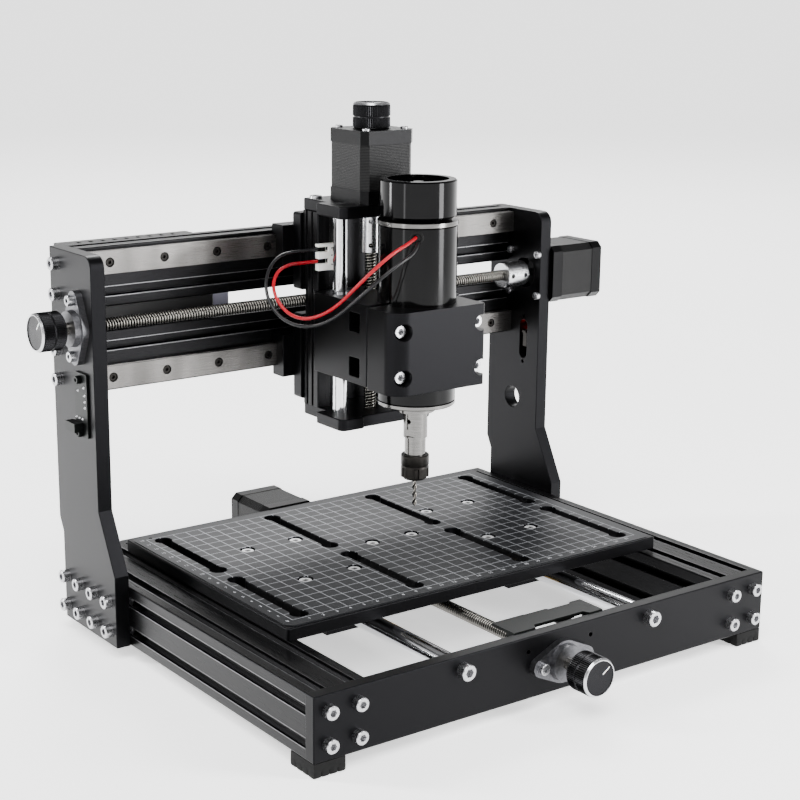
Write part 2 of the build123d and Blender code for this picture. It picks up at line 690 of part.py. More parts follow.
lead_nut("y_lead_nut", Plane(origin=(0, TABLE_Y - 14, Y_SCREW_Z), z_dir=(0, -1, 0)), 10)

# ======================= X carriage and Z column =======================
BLOCK_FRONT, RAIL_BLOCK_L = 105, 41
rail_blocks = []
for z in RAILS_Z:
    for s in MIRROR:
        with BuildPart() as rail_block:
            with BuildSketch(SIDE.offset(CAR_X + s * 21 - RAIL_BLOCK_L / 2)):
                with Locations(((BLOCK_FRONT + 118.5) / 2, z)):
                    RectangleRounded(118.5 - BLOCK_FRONT, 30, 1)
                with Locations((RAIL_FRONT + 3.5, z)):
                    Rectangle(7.4, RAIL_W + 0.6, mode=Mode.SUBTRACT)
            extrude(amount=RAIL_BLOCK_L)
        rail_blocks.append(rail_block.part)
group("x_rail_blocks", rail_blocks)

CHANNEL_BACK, CHANNEL_FRONT, CHANNEL_W = 96, 78, 62
carriage_plates = []
for low, high in ((145.5, 205), (222, 275)):
    with BuildPart() as carriage_plate:
        with BuildSketch(FRONT.offset(-BLOCK_FRONT)):
            with Locations((CAR_X, (low + high) / 2)):
                RectangleRounded(PLATE_W, high - low, 2)
        extrude(amount=BLOCK_FRONT - CHANNEL_BACK)
    carriage_plates.append(carriage_plate.part)
with BuildPart() as nut_holder:      # joins the cross screw's nut to the upper plate
    with BuildSketch(SIDE.offset(CAR_X + 10)):
        with Locations((101, 213.5)):
            Rectangle(14, 17)
        with Locations((screw_y, screw_z)):
            Circle(5.1, mode=Mode.SUBTRACT)
    extrude(amount=12)
carriage_plates.append(nut_holder.part)
group("carriage_plates", carriage_plates)

x_nut_plane = Plane(origin=(CAR_X + 10, screw_y, screw_z), x_dir=(0, 1, 0), z_dir=(-1, 0, 0))
with BuildPart() as x_lead_nut:      # trimmed flange, so that it passes between the plates
    with BuildSketch(x_nut_plane):
        Rectangle(12, 16)
    extrude(amount=3.5)
    with BuildSketch(x_nut_plane):
        Circle(5)
    extrude(amount=-12)
    with BuildSketch(x_nut_plane.offset(3.5)):
        Circle(SCREW_R + GAP)
    extrude(amount=-15.5, mode=Mode.SUBTRACT)
save(x_lead_nut, "x_lead_nut")

with BuildPart() as z_back_channel:
    with BuildSketch(Plane.XY.offset(COLUMN_BOTTOM)):
        with Locations((CAR_X, (CHANNEL_BACK + CHANNEL_FRONT) / 2)):
            RectangleRounded(CHANNEL_W, CHANNEL_BACK - CHANNEL_FRONT, 1)
        with Locations((CAR_X, CHANNEL_FRONT + 4)):
            Rectangle(CHANNEL_W - 20, 10, mode=Mode.SUBTRACT)
        with Locations(*[(CAR_X + s * CHANNEL_W / 2, y) for s in MIRROR for y in (84.5, 91)]):
            Rectangle(2.4, 2.4, mode=Mode.SUBTRACT)
        with Locations(*[(CAR_X + s * (CHANNEL_W / 2 - 5), 83) for s in MIRROR]):
            Circle(1.7, mode=Mode.SUBTRACT)
    extrude(amount=COLUMN_TOP - COLUMN_BOTTOM)
    with BuildSketch(SIDE.offset(CAR_X - CHANNEL_W / 2)):      # clears the cross screw's nut
        with Locations((CHANNEL_BACK, screw_z)):
            Rectangle(6, 20)
    extrude(amount=CHANNEL_W, mode=Mode.SUBTRACT)
save(z_back_channel, "z_back_channel")


def column_plate(name, bottom, middle_hole):
    """End plate of the Z column: square rear part and a wider front part with round corners."""
    with BuildPart() as plate:
        with BuildSketch(Plane.XY.offset(bottom)) as outline:
            with Locations((CAR_X, 82)):
                Rectangle(60, 28)
            with Locations((CAR_X, 54)):
                Rectangle(76, 30)
            fillet(outline.vertices().group_by(Axis.Y)[0], 5)
            with Locations((CAR_X, Z_ROD_Y)):
                Circle(middle_hole, mode=Mode.SUBTRACT)
            with Locations((CAR_X - Z_ROD_X, Z_ROD_Y), (CAR_X + Z_ROD_X, Z_ROD_Y)):
                Circle(Z_ROD_R + 0.02, mode=Mode.SUBTRACT)
            with Locations(*[(CAR_X + s * (CHANNEL_W / 2 - 5), 83) for s in MIRROR]):
                Circle(1.7, mode=Mode.SUBTRACT)
            if middle_hole > SCREW_R + 1:
                with Locations(*[(CAR_X + a, Z_ROD_Y + b) for a, b in motor_corners]):
                    Circle(1.7, mode=Mode.SUBTRACT)
        extrude(amount=Z_PLATE_T)
        if middle_hole < SCREW_R + 1:
            with BuildSketch(Plane.XY.offset(bottom)):
                with Locations((CAR_X, 39)):
                    Rectangle(40, 5)
            extrude(amount=Z_PLATE_T, mode=Mode.SUBTRACT)
        chamfer(plate.faces().sort_by(Axis.Z)[-1].outer_wire().edges(), 0.5)
        chamfer(plate.faces().sort_by(Axis.Z)[0].outer_wire().edges(), 0.5)
    save(plate, name)


column_plate("z_top_plate", COLUMN_TOP, 11.25)
column_plate("z_bottom_plate", COLUMN_BOTTOM - Z_PLATE_T, SCREW_R + GAP)

z_rods = []
for s in MIRROR:
    with BuildPart() as z_rod:
        with BuildSketch(Plane.XY.offset(COLUMN_BOTTOM - Z_PLATE_T + 0.5)):
            with Locations((CAR_X + s * Z_ROD_X, Z_ROD_Y)):
                Circle(Z_ROD_R)
        extrude(amount=COLUMN_TOP - COLUMN_BOTTOM + 2 * Z_PLATE_T - 0.6)
    z_rods.append(z_rod.part)
group("z_rods", z_rods)

Z_BOARD_Z = COLUMN_TOP + Z_PLATE_T
with BuildPart() as z_board:
    with BuildSketch(Plane.XY.offset(Z_BOARD_Z)):
        with Locations((CAR_X + 32, 66)):
            RectangleRounded(17, 34, 2)
    extrude(amount=BOARD_T)
z_switch_plane = Plane(origin=(CAR_X + 35.5, 76, Z_BOARD_Z), x_dir=(0, 1, 0), z_dir=(0, 0, -1))
group("z_limit_board", [z_board.part, micro_switch(z_switch_plane)])
lever("z_limit_lever", (CAR_X + 35.5, 70.5, Z_BOARD_Z - 6.5 - LEVER_OFF), (0, 1, 0), (0, 0, -1))

with BuildPart() as wire_connector:
    with BuildSketch(FRONT.offset(-CHANNEL_FRONT)):
        with Locations((CAR_X - 25, 247)):
            Rectangle(16, 18)
    extrude(amount=4.4)
    with BuildSketch(SIDE.offset(CAR_X - 33)):
        with Locations((CHANNEL_FRONT - 2.2, 252.7), (CHANNEL_FRONT - 2.2, 244.5)):
            Circle(1.4)
    extrude(amount=5, mode=Mode.SUBTRACT)
save(wire_connector, "wire_connector")

# ======================= Z slide, clamp and spindle =======================
SLIDE_H = SLIDE_TOP - SLIDE_BOTTOM
clamp_screw_spots = [(x, z) for x in (CAR_X - 33, CAR_X + 29.2) for z in (182.5, 212.4)]
SLIDE_FRONT, SLIDE_BACK = 11, 72.5
CAP_FRONT, CAP_BACK = -24, 6
with BuildPart() as z_slider:
    with BuildSketch(Plane.XY.offset(SLIDE_BOTTOM)) as slider_outline:
        with Locations((CAR_X, (SLIDE_FRONT + SLIDE_BACK) / 2)):
            RectangleRounded(SLIDE_RIGHT - SLIDE_LEFT, SLIDE_BACK - SLIDE_FRONT, 1)
        with Locations((CAR_X, SPINDLE_Y)):
            Circle(SPINDLE_R + GAP, mode=Mode.SUBTRACT)
        with Locations((CAR_X - Z_ROD_X, Z_ROD_Y), (CAR_X + Z_ROD_X, Z_ROD_Y)):
            Circle(9.5, mode=Mode.SUBTRACT)
        with Locations((CAR_X, Z_ROD_Y)):
            Circle(5.1, mode=Mode.SUBTRACT)
    extrude(amount=SLIDE_H)
    with BuildSketch(SIDE.offset(SLIDE_LEFT)):
        with Locations((25, 182), (25, 212)):
            RectangleRounded(12, 13, 1)
    extrude(amount=9, mode=Mode.SUBTRACT)
    with BuildSketch(FRONT.offset(-SLIDE_FRONT)):
        with Locations(*clamp_screw_spots):
            Circle(2.5)
    extrude(amount=-12, mode=Mode.SUBTRACT)
save(z_slider, "z_slider")

linear_bearings = []
for s in MIRROR:
    for start in (SLIDE_BOTTOM, SLIDE_TOP - 24):
        with BuildPart() as linear_bearing:
            with BuildSketch(Plane.XY.offset(start)):
                with Locations((CAR_X + s * Z_ROD_X, Z_ROD_Y)):
                    Circle(9.5)
                    Circle(Z_ROD_R + GAP, mode=Mode.SUBTRACT)
            extrude(amount=24)
        linear_bearings.append(linear_bearing.part)
group("z_linear_bearings", linear_bearings)
lead_nut("z_lead_nut", Plane(origin=(CAR_X, Z_ROD_Y, SLIDE_BOTTOM), z_dir=(0, 0, -1)), 12)

with BuildPart() as clamp_cap:
    with BuildSketch(Plane.XY.offset(SLIDE_BOTTOM)) as cap_outline:
        with Locations(((CAP_LEFT + CAP_RIGHT) / 2, (CAP_FRONT + CAP_BACK) / 2)):
            Rectangle(CAP_RIGHT - CAP_LEFT, CAP_BACK - CAP_FRONT)
        fillet(cap_outline.vertices().group_by(Axis.Y)[0].sort_by(Axis.X)[0], 12)
        fillet(cap_outline.vertices().group_by(Axis.Y)[0].sort_by(Axis.X)[-1], 2)
        with Locations((CAR_X, SPINDLE_Y)):
            Circle(SPINDLE_R + GAP, mode=Mode.SUBTRACT)
    extrude(amount=SLIDE_H)
    with BuildSketch(FRONT.offset(-CAP_FRONT + 1)):
        with Locations(*clamp_screw_spots):
            Circle(5.5)
    extrude(amount=-11, mode=Mode.SUBTRACT)
    with BuildSketch(FRONT.offset(-CAP_FRONT + 1)):
        with Locations(*clamp_screw_spots):
            Circle(2.6)
    extrude(amount=-40, mode=Mode.SUBTRACT)
save(clamp_cap, "clamp_cap")
clamp_screw = cap_screw(M5, 4.9, 30)
group("clamp_screws", screws_at(clamp_screw, [facing("-y", x, CAP_FRONT + 10, z)
                                              for x, z in clamp_screw_spots]))

WIRE_EXIT_Z = 270


def turned(name, profile):
    """Solid of revolution about the spindle's axis from (radius, z) points, saved if it has a name."""
    with BuildPart(mode=Mode.PRIVATE) as body:
        with BuildSketch(Plane(origin=(CAR_X, SPINDLE_Y, 0), x_dir=(1, 0, 0), z_dir=(0, -1, 0))):
            with BuildLine():
                Polyline(*profile, close=True)
            make_face()
        revolve(axis=Axis((CAR_X, SPINDLE_Y, 0), (0, 0, 1)))
    if name:
        save(body, name)
    return body.part


GROMMET_DIR = (-0.62, -0.78)        # the wires leave towards the front left
with BuildPart() as spindle_body:
    add(turned(None, [(8.1, 159), (25, 159), (SPINDLE_R, 160), (SPINDLE_R, 275), (25, 276), (8.1, 276)]))
    exit_plane = Plane(origin=(CAR_X + GROMMET_DIR[0] * 25.4, SPINDLE_Y + GROMMET_DIR[1] * 25.4, WIRE_EXIT_Z),
                       x_dir=(0, 0, 1), z_dir=(GROMMET_DIR[0], GROMMET_DIR[1], 0))
    with BuildSketch(exit_plane):
        Circle(4)
    extrude(amount=1.6)
save(spindle_body, "spindle_body")

group("spindle_rings", [
    turned(None, [(8.1, 151), (12.75, 151), (12.75, 156.5), (SPINDLE_R - 0.5, 156.5), (SPINDLE_R, 157),
                  (SPINDLE_R, 159), (8.1, 159)]),
    turned(None, [(8.1, 276), (26.5, 276), (26.5, 278.6), (22, 279.2), (8.1, 279.2)])])

FAN_R = 25.25
turned("fan_shroud", [(6.1, 279.2), (22, 279.2), (FAN_R, 282), (FAN_R, 304), (FAN_R - 1, 305), (20, 305),
                      (20, 300), (18.4, 300), (18.4, 281.5), (6.1, 281.5)])
with BuildPart() as spindle_shaft:
    add(turned(None, [(1.6, 121), (7, 121), (7, 133), (8, 133), (8, 150.5), (6, 151.5), (6, 285),
                      (4.2, 285), (4.2, 301.5), (3.4, 303), (0, 303), (0, 124), (1.6, 124)]))
    with BuildSketch(Plane(origin=(CAR_X - 7.6, SPINDLE_Y - 2.7, 144.5), x_dir=(0, 0, 1),
                           z_dir=(-0.94, -0.34, 0))):
        Circle(1.6)                  # bar hole
    extrude(amount=-5, mode=Mode.SUBTRACT)
    with BuildSketch(Plane.XY.offset(134)):
        with Locations((CAR_X, SPINDLE_Y)):
            Circle(9)                # wrench flats
            Rectangle(13.6, 20, rotation=19.9, mode=Mode.SUBTRACT)
    extrude(amount=5, mode=Mode.SUBTRACT)
save(spindle_shaft, "spindle_shaft")

with BuildPart() as spindle_fan:
    add(turned(None, [(4.2, 285), (7, 285), (7, 300), (4.2, 300)]))
    with BuildSketch(Plane.XY.offset(286)):
        with Locations((CAR_X, SPINDLE_Y)):
            with PolarLocations(12, 12):
                Rectangle(11.6, 1.2)
    extrude(amount=13)
save(spindle_fan, "spindle_fan")

collet_nut = turned(None, [(7 + GAP, 121), (9.5, 121), (9.5, 106), (8.6, 104), (5, 104), (5, 108),
                           (7 + GAP, 110)])
collet = turned(None, [(1.6, 104.5), (4.8, 104.5), (4.8, 108.2), (6.6, 110.4), (6.6, 112), (5.4, 113),
                       (5.4, 120.5), (1.6, 120.5)])
group("collet_nut", [collet_nut, collet])
turned("drill_bit", [(0, 84.2), (1.6, 85.6), (1.6, 123.5), (0, 123.5)])

# ======================= spindle wires =======================
WIRE_D = 2.2
LIMP = 3                             # least bend radius of these soft wires, in diameters
RED_ROUTE = [(-10.2, -13.8, 270.4), (-23, -25, 269.8), (-38, -29, 266), (-51, -26, 256), (-58, -15, 243),
             (-61, -2, 231), (-65, 12, 222), (-71, 25, 218), (-76, 38, 222), (-78, 49, 234),
             (-68, 60, 243.5), (-53, 68, 246), (-38, 75.8, 244.5), (-25, 75.8, 244.5)]
BLACK_ROUTE = [(-8.8, -14.6, 267.4), (-20, -27.5, 264), (-37, -30, 257.5), (-50, -25, 246.5), (-57, -13, 234),
               (-61, 0, 223), (-66, 14, 215.3), (-74, 28, 213.5), (-81, 42, 221), (-81, 53, 234),
               (-72, 63, 246), (-57, 71, 253), (-40, 75.8, 252.7), (-25, 75.8, 252.7)]


def corner_radii(points):
    """Arc radius at each corner: 0.45 of the shorter run over the tangent of half the turn."""
    radii = []
    for before, corner, after in zip(points, points[1:], points[2:]):
        run_in, run_out = Vector(*corner) - Vector(*before), Vector(*after) - Vector(*corner)
        half_turn = radians(run_in.get_angle(run_out)) / 2
        radii.append(0.45 * min(run_in.length, run_out.length) / tan(half_turn))
    return radii


def wire(name, points):
    """Round wire along straight runs joined by tangent arcs."""
    radii = corner_radii(points)
    print(name, "radii in diameters", [round(r / WIRE_D, 1) for r in radii])
    with BuildPart() as tube:
        with BuildLine() as path:
            FilletPolyline(*points, radius=radii)
        start = Vector(*points[0])
        along = Vector(*points[1]) - start
        with BuildSketch(Plane(origin=start, z_dir=along)):
            Circle(WIRE_D / 2)
        sweep(path=path.wires()[0])
    length = path.wires()[0].length
    print(name, "length", round(length, 1), "tightest", round(min(radii) / WIRE_D, 1),
          "volume ratio", round(tube.part.volume / (length * pi * WIRE_D ** 2 / 4), 4))
    save(tube, name)


wire("red_wire", RED_ROUTE)
wire("black_wire", BLACK_ROUTE)
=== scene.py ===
"""Looks of a desktop three-axis router, built around its CAD frame. Metres, in the CAD's frame."""
from math import cos, pi, radians, sin, tau

import bmesh
import bpy
from mathutils import Matrix, Vector


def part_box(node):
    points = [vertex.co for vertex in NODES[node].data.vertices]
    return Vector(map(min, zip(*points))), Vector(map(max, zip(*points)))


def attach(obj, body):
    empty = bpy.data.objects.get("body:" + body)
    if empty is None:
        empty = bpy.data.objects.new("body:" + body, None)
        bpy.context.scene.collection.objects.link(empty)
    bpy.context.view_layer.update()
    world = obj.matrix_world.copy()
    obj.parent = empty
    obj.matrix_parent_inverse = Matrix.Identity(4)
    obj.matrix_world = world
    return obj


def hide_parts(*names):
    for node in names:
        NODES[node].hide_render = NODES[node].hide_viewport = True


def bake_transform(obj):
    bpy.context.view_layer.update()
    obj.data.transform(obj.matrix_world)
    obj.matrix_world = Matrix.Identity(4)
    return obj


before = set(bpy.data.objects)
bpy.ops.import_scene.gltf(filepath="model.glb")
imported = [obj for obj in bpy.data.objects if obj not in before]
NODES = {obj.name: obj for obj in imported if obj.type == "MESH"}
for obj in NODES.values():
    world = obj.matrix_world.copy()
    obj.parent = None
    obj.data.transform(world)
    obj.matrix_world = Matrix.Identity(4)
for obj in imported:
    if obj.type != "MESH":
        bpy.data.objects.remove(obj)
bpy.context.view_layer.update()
MM = 0.001
X, Y, Z = Vector((1, 0, 0)), Vector((0, 1, 0)), Vector((0, 0, 1))


# ---------------------------------------------------------------- materials
def linear(code):
    """Linear RGBA of an sRGB hex colour."""
    parts = [int(code[i:i + 2], 16) / 255 for i in (1, 3, 5)]
    return (*[p / 12.92 if p <= 0.04045 else ((p + 0.055) / 1.055) ** 2.4 for p in parts], 1)


def add(mat, kind, settings=None, **inputs):
    """Add one shader node. An input is named by its socket, or by i and its place.
    It takes a value or a link."""
    made = mat.node_tree.nodes.new("ShaderNode" + kind)
    for key, value in (settings or {}).items():
        setattr(made, key, value)
    for key, value in inputs.items():
        socket = made.inputs[int(key[1:])] if key[1:].isdigit() else made.inputs[key.replace("_", " ")]
        if isinstance(value, bpy.types.NodeSocket):
            mat.node_tree.links.new(value, socket)
        else:
            socket.default_value = value
    return made


def start(name, colour, metallic, roughness, **more):
    """New material, its shader, and the frame's coordinates in millimetres."""
    mat = bpy.data.materials.new(name)
    mat.use_nodes = True
    shader = mat.node_tree.nodes["Principled BSDF"]
    shader.inputs["Base Color"].default_value = linear(colour)
    shader.inputs["Metallic"].default_value = metallic
    shader.inputs["Roughness"].default_value = roughness
    for key, value in more.items():
        shader.inputs[key.replace("_", " ")].default_value = value
    place = add(mat, "TexCoord").outputs["Object"]
    in_mm = add(mat, "VectorMath", {"operation": "SCALE"}, i0=place, Scale=1 / MM).outputs[0]
    return mat, shader, in_mm


def link(mat, output, shader, name):
    """Lead an output into the shader's named input."""
    mat.node_tree.links.new(output, shader.inputs[name])


def noise(mat, in_mm, grain, stretch=(1, 1, 1), detail=3.0):
    """Noise whose features are about grain millimetres, drawn out by stretch."""
    scaled = add(mat, "VectorMath", {"operation": "MULTIPLY"}, i0=in_mm,
                 i1=tuple(1 / (grain * s) for s in stretch)).outputs[0]
    return add(mat, "TexNoise", Vector=scaled, Scale=1.0, Detail=detail, Roughness=0.6).outputs[0]


def blend_colours(mat, factor, first, second):
    """Colour that runs from first to second as factor goes from 0 to 1."""
    return add(mat, "Mix", {"data_type": "RGBA"}, i0=factor, i6=first, i7=second).outputs[2]


def maths(mat, operation, first, second=0.0):
    """Result of one Math node."""
    return add(mat, "Math", {"operation": operation}, i0=first, i1=second).outputs[0]


def vary(mat, shader, pattern, colours=None, rough=None, lift=None, edge=0):
    """Let a pattern change a surface's colour, its roughness and its height. lift is the height's range and
    edge the radius that sharp edges seem to have, both in millimetres."""
    if colours:
        link(mat, blend_colours(mat, pattern, linear(colours[0]), linear(colours[1])), shader, "Base Color")
    if rough:
        spread = add(mat, "MapRange", Value=pattern, From_Min=0.25, From_Max=0.75,
                     To_Min=rough[0], To_Max=rough[1])
        link(mat, spread.outputs[0], shader, "Roughness")
    if lift:
        bump = add(mat, "Bump", Strength=0.6, Distance=lift * MM, Height=pattern)
        if edge:
            link(mat, add(mat, "Bevel", {"samples": 4}, Radius=edge * MM).outputs[0], bump, "Normal")
        link(mat, bump.outputs[0], shader, "Normal")


def bead_blasted_black_anodised_aluminium():
    """Fine matt grain left by glass beads under the dyed oxide: soft grey highlights."""
    mat, shader, in_mm = start("bead_blasted_black_anodised_aluminium", "#0b0b0c", 0.85, 0.36,
                               Specular_IOR_Level=0.3)
    vary(mat, shader, noise(mat, in_mm, 0.5), ("#08080a", "#101012"), (0.3, 0.42), 0.02, 0.6)
    return mat


def extruded_black_anodised_aluminium(along):
    """Die lines run along the bar, 0.3 mm apart, and streak its highlights."""
    stretch = [60 if i == along else 1 for i in range(3)]
    mat, shader, in_mm = start("extruded_black_anodised_aluminium_" + "xyz"[along], "#0b0b0c", 0.85, 0.3)
    vary(mat, shader, noise(mat, in_mm, 0.3, stretch), ("#070708", "#131315"), (0.24, 0.36), 0.015, 0.5)
    return mat


def ground_rail_steel():
    """Ground lengthwise: long bright and dark streaks along X, and darker and lighter bands some 22 mm long
    along the rail.
    """
    mat, shader, in_mm = start("ground_rail_steel", "#6f6d6b", 1, 0.3)
    vary(mat, shader, noise(mat, in_mm, 0.25, (80, 1, 1)), None, (0.22, 0.38), 0.01)
    bands = noise(mat, in_mm, 22, (1, 6, 6), 1.5)
    link(mat, blend_colours(mat, bands, linear("#2f2e2d"), linear("#7b7977")), shader, "Base Color")
    return mat


def hard_chromed_steel():
    """Ground and chromed rod: mirror with faint polishing lines."""
    mat, shader, in_mm = start("hard_chromed_steel", "#d4d5d8", 1, 0.1)
    vary(mat, shader, noise(mat, in_mm, 0.4, (1, 20, 20)), None, (0.06, 0.15), 0.003)
    return mat


def rolled_thread_steel(name, axis, centre):
    """Rolled stainless thread: bright crests 4 mm from the axis, and painted shade darkening the roots 1 mm
    lower.
    """
    mat, shader, in_mm = start("rolled_thread_steel_" + name, "#a9a6a0", 1, 0.25)
    depth = add(mat, "MapRange", Value=distance_from(mat, in_mm, axis, centre), From_Min=3.2, From_Max=3.9)
    # painted shade: colour runs from near black in the roots to grey on the crests
    vary(mat, shader, depth.outputs[0], ("#0a0a09", "#7b7974"))
    vary(mat, shader, noise(mat, in_mm, 1.2), None, (0.18, 0.32), 0.01)
    return mat


def nickel_plated_screw_steel():
    """Bright plated socket heads with slight handling marks."""
    mat, shader, in_mm = start("nickel_plated_screw_steel", "#c6c6c8", 1, 0.24)
    vary(mat, shader, noise(mat, in_mm, 0.9), ("#8e8e91", "#c6c6c8"), (0.2, 0.36), 0.02)
    return mat


def zinc_plated_screw_steel():
    """Pale barrelled zinc plate on the table's screws."""
    mat, shader, in_mm = start("zinc_plated_screw_steel", "#dcdcdc", 0.55, 0.42)
    vary(mat, shader, noise(mat, in_mm, 0.9), ("#b4b4b6", "#dedede"), (0.36, 0.5), 0.02)
    return mat


def die_cast_zinc_alloy():
    """Cast skin: slightly cloudy grey with a fine orange-peel."""
    mat, shader, in_mm = start("die_cast_zinc_alloy", "#8c8c8e", 1, 0.36)
    vary(mat, shader, noise(mat, in_mm, 1.4), ("#39393c", "#707073"), (0.28, 0.46), 0.05)
    return mat


def turned_bright_aluminium():
    """Bare turned alloy: fine tool rings and a soft bright sheen."""
    mat, shader, in_mm = start("turned_bright_aluminium", "#c2c3c5", 1, 0.22)
    vary(mat, shader, noise(mat, in_mm, 0.35), ("#a6a7aa", "#d0d0d2"), (0.17, 0.3), 0.008)
    return mat


def black_anodised_knurl():
    """Dyed black over the knurl, its crests rubbed a little lighter."""
    mat, shader, in_mm = start("black_anodised_knurl", "#0c0c0d", 0.85, 0.3)
    vary(mat, shader, noise(mat, in_mm, 0.6), ("#08080a", "#19191b"), (0.24, 0.38), 0.015)
    return mat


def distance_from(mat, in_mm, axis, centre):
    """Millimetres from the line along an axis through centre."""
    local = add(mat, "VectorMath", {"operation": "SUBTRACT"}, i0=in_mm, i1=centre).outputs[0]
    flat = add(mat, "VectorMath", {"operation": "MULTIPLY"}, i0=local, i1=tuple(0 if a else 1 for a in axis))
    return add(mat, "VectorMath", {"operation": "LENGTH"}, i0=flat.outputs[0]).outputs["Value"]


def spun_knob_face(name, axis, centre):
    """Face of a knob, spun with a fine tool: concentric rings 0.5 mm apart that fan the light."""
    mat, shader, in_mm = start("spun_face_" + name, "#18181a", 0.95, 0.26)
    turns = maths(mat, "MULTIPLY", distance_from(mat, in_mm, axis, centre), tau / 0.5)
    rings = maths(mat, "SINE", turns)
    bump = add(mat, "Bump", Strength=0.5, Distance=0.02 * MM, Height=rings)
    link(mat, bump.outputs[0], shader, "Normal")
    return mat


def yellow_brass():
    """Turned brass, slightly dulled."""
    mat, shader, in_mm = start("yellow_brass", "#b8923f", 1, 0.3)
    vary(mat, shader, noise(mat, in_mm, 0.8), ("#9b7a34", "#c9a552"), (0.24, 0.38), 0.01)
    return mat


def moulded_nitrile_rubber():
    """Moulded feet: dull black with a faint dusty bloom."""
    mat, shader, in_mm = start("moulded_nitrile_rubber", "#080808", 0, 0.75, Specular_IOR_Level=0.15)
    vary(mat, shader, noise(mat, in_mm, 1.1), ("#040404", "#090909"), (0.65, 0.85), 0.05)
    return mat


def black_solder_mask():
    """Circuit board: satin black mask over glass weave 0.5 mm apart."""
    mat, shader, in_mm = start("black_solder_mask", "#080a09", 0.9, 0.4, IOR=1.5)
    vary(mat, shader, noise(mat, in_mm, 0.5), ("#060807", "#0c0f0e"), (0.34, 0.46), 0.01)
    return mat


def green_glass_epoxy():
    """Bare edge and mask of a green board."""
    mat, shader, in_mm = start("green_glass_epoxy", "#3e4a2c", 0, 0.4, IOR=1.5)
    vary(mat, shader, noise(mat, in_mm, 0.6), ("#2c3620", "#5d6b45"), (0.34, 0.48), 0.01)
    return mat


def moulded_black_abs():
    """Moulded black ABS: even fine spark texture."""
    mat, shader, in_mm = start("moulded_black_abs", "#0e0e0f", 0, 0.45, IOR=1.5)
    vary(mat, shader, noise(mat, in_mm, 0.35), ("#0b0b0c", "#121213"), (0.38, 0.52), 0.03)
    return mat


def polyester_powder_coat():
    """Powder coat: rounded orange-peel about 1.5 mm across."""
    mat, shader, in_mm = start("polyester_powder_coat", "#0c0c0d", 0.4, 0.42, IOR=1.5)
    vary(mat, shader, noise(mat, in_mm, 1.5, detail=1.0), ("#0a0a0b", "#101011"), (0.36, 0.5), 0.08)
    return mat


def black_lacquered_steel():
    """Spindle can: glossy stoved lacquer that mirrors the lights, with a trace of ripple."""
    mat, shader, in_mm = start("black_lacquered_steel", "#0a0a0b", 0.8, 0.1, IOR=1.5)
    vary(mat, shader, noise(mat, in_mm, 9, (1, 1, 3), 1.0), ("#080808", "#0e0e0f"), (0.08, 0.14), 0.03)
    return mat


def polished_black_abs():
    """Fan housing: polished moulding, brighter and wetter than the can."""
    mat, shader, in_mm = start("polished_black_abs", "#09090a", 0.75, 0.07, IOR=1.5)
    vary(mat, shader, noise(mat, in_mm, 12, detail=1.0), ("#050506", "#0a0a0b"), (0.05, 0.11), 0.02)
    return mat


def turned_steel():
    """Turned and polished steel: hairline tool rings 0.3 mm apart and slight stains."""
    mat, shader, in_mm = start("turned_steel", "#8f8e8c", 1, 0.22)
    vary(mat, shader, noise(mat, in_mm, 0.3, (30, 30, 1)), ("#383736", "#858482"), (0.12, 0.26), 0.01)
    return mat


def black_oxide_steel():
    """Oil-blacked steel: near black, semi gloss."""
    mat, shader, in_mm = start("black_oxide_steel", "#1c1b1a", 0.9, 0.35)
    vary(mat, shader, noise(mat, in_mm, 0.7), ("#141312", "#282624"), (0.28, 0.44), 0.015)
    return mat


def ground_high_speed_steel():
    """Bright ground flutes."""
    mat, shader, in_mm = start("ground_high_speed_steel", "#6b6966", 1, 0.22)
    vary(mat, shader, noise(mat, in_mm, 0.3), ("#45433f", "#85827d"), (0.16, 0.3), 0.01)
    return mat


def silicone_wire(name, low, high):
    """Soft silicone insulation: even colour under a waxy sheen."""
    mat, shader, in_mm = start(name, high, 0, 0.34, Specular_IOR_Level=0.25)
    vary(mat, shader, noise(mat, in_mm, 2.5), (low, high), (0.26, 0.38), 0.01)
    return mat


def moulded_white_nylon():
    """Connector nylon: slightly translucent white."""
    mat, shader, in_mm = start("moulded_white_nylon", "#e6e5e0", 0, 0.42, IOR=1.53, Subsurface_Weight=0.08)
    shader.inputs["Subsurface Scale"].default_value = 1 * MM
    vary(mat, shader, noise(mat, in_mm, 1.2), ("#dad9d3", "#efeeea"), (0.36, 0.5), 0.02)
    return mat


def red_light_lens():
    """Lit red indicator."""
    mat, shader, in_mm = start("red_light_lens", "#c8100f", 0, 0.25, IOR=1.5)
    shader.inputs["Emission Color"].default_value = linear("#ff1410")
    shader.inputs["Emission Strength"].default_value = 6
    vary(mat, shader, noise(mat, in_mm, 0.8), ("#a80c0b", "#e01a16"), (0.2, 0.3), 0.01)
    return mat


def stripes(mat, value, pitch, width):
    """1 on lines of the given width at every pitch millimetres, 0 between."""
    return maths(mat, "LESS_THAN", maths(mat, "PINGPONG", value, pitch / 2), width / 2)


GRID_W, GRID_D, SQUARE = 280, 180, 10    # printed grid and its squares, in millimetres
GRID_LINE = 0.5


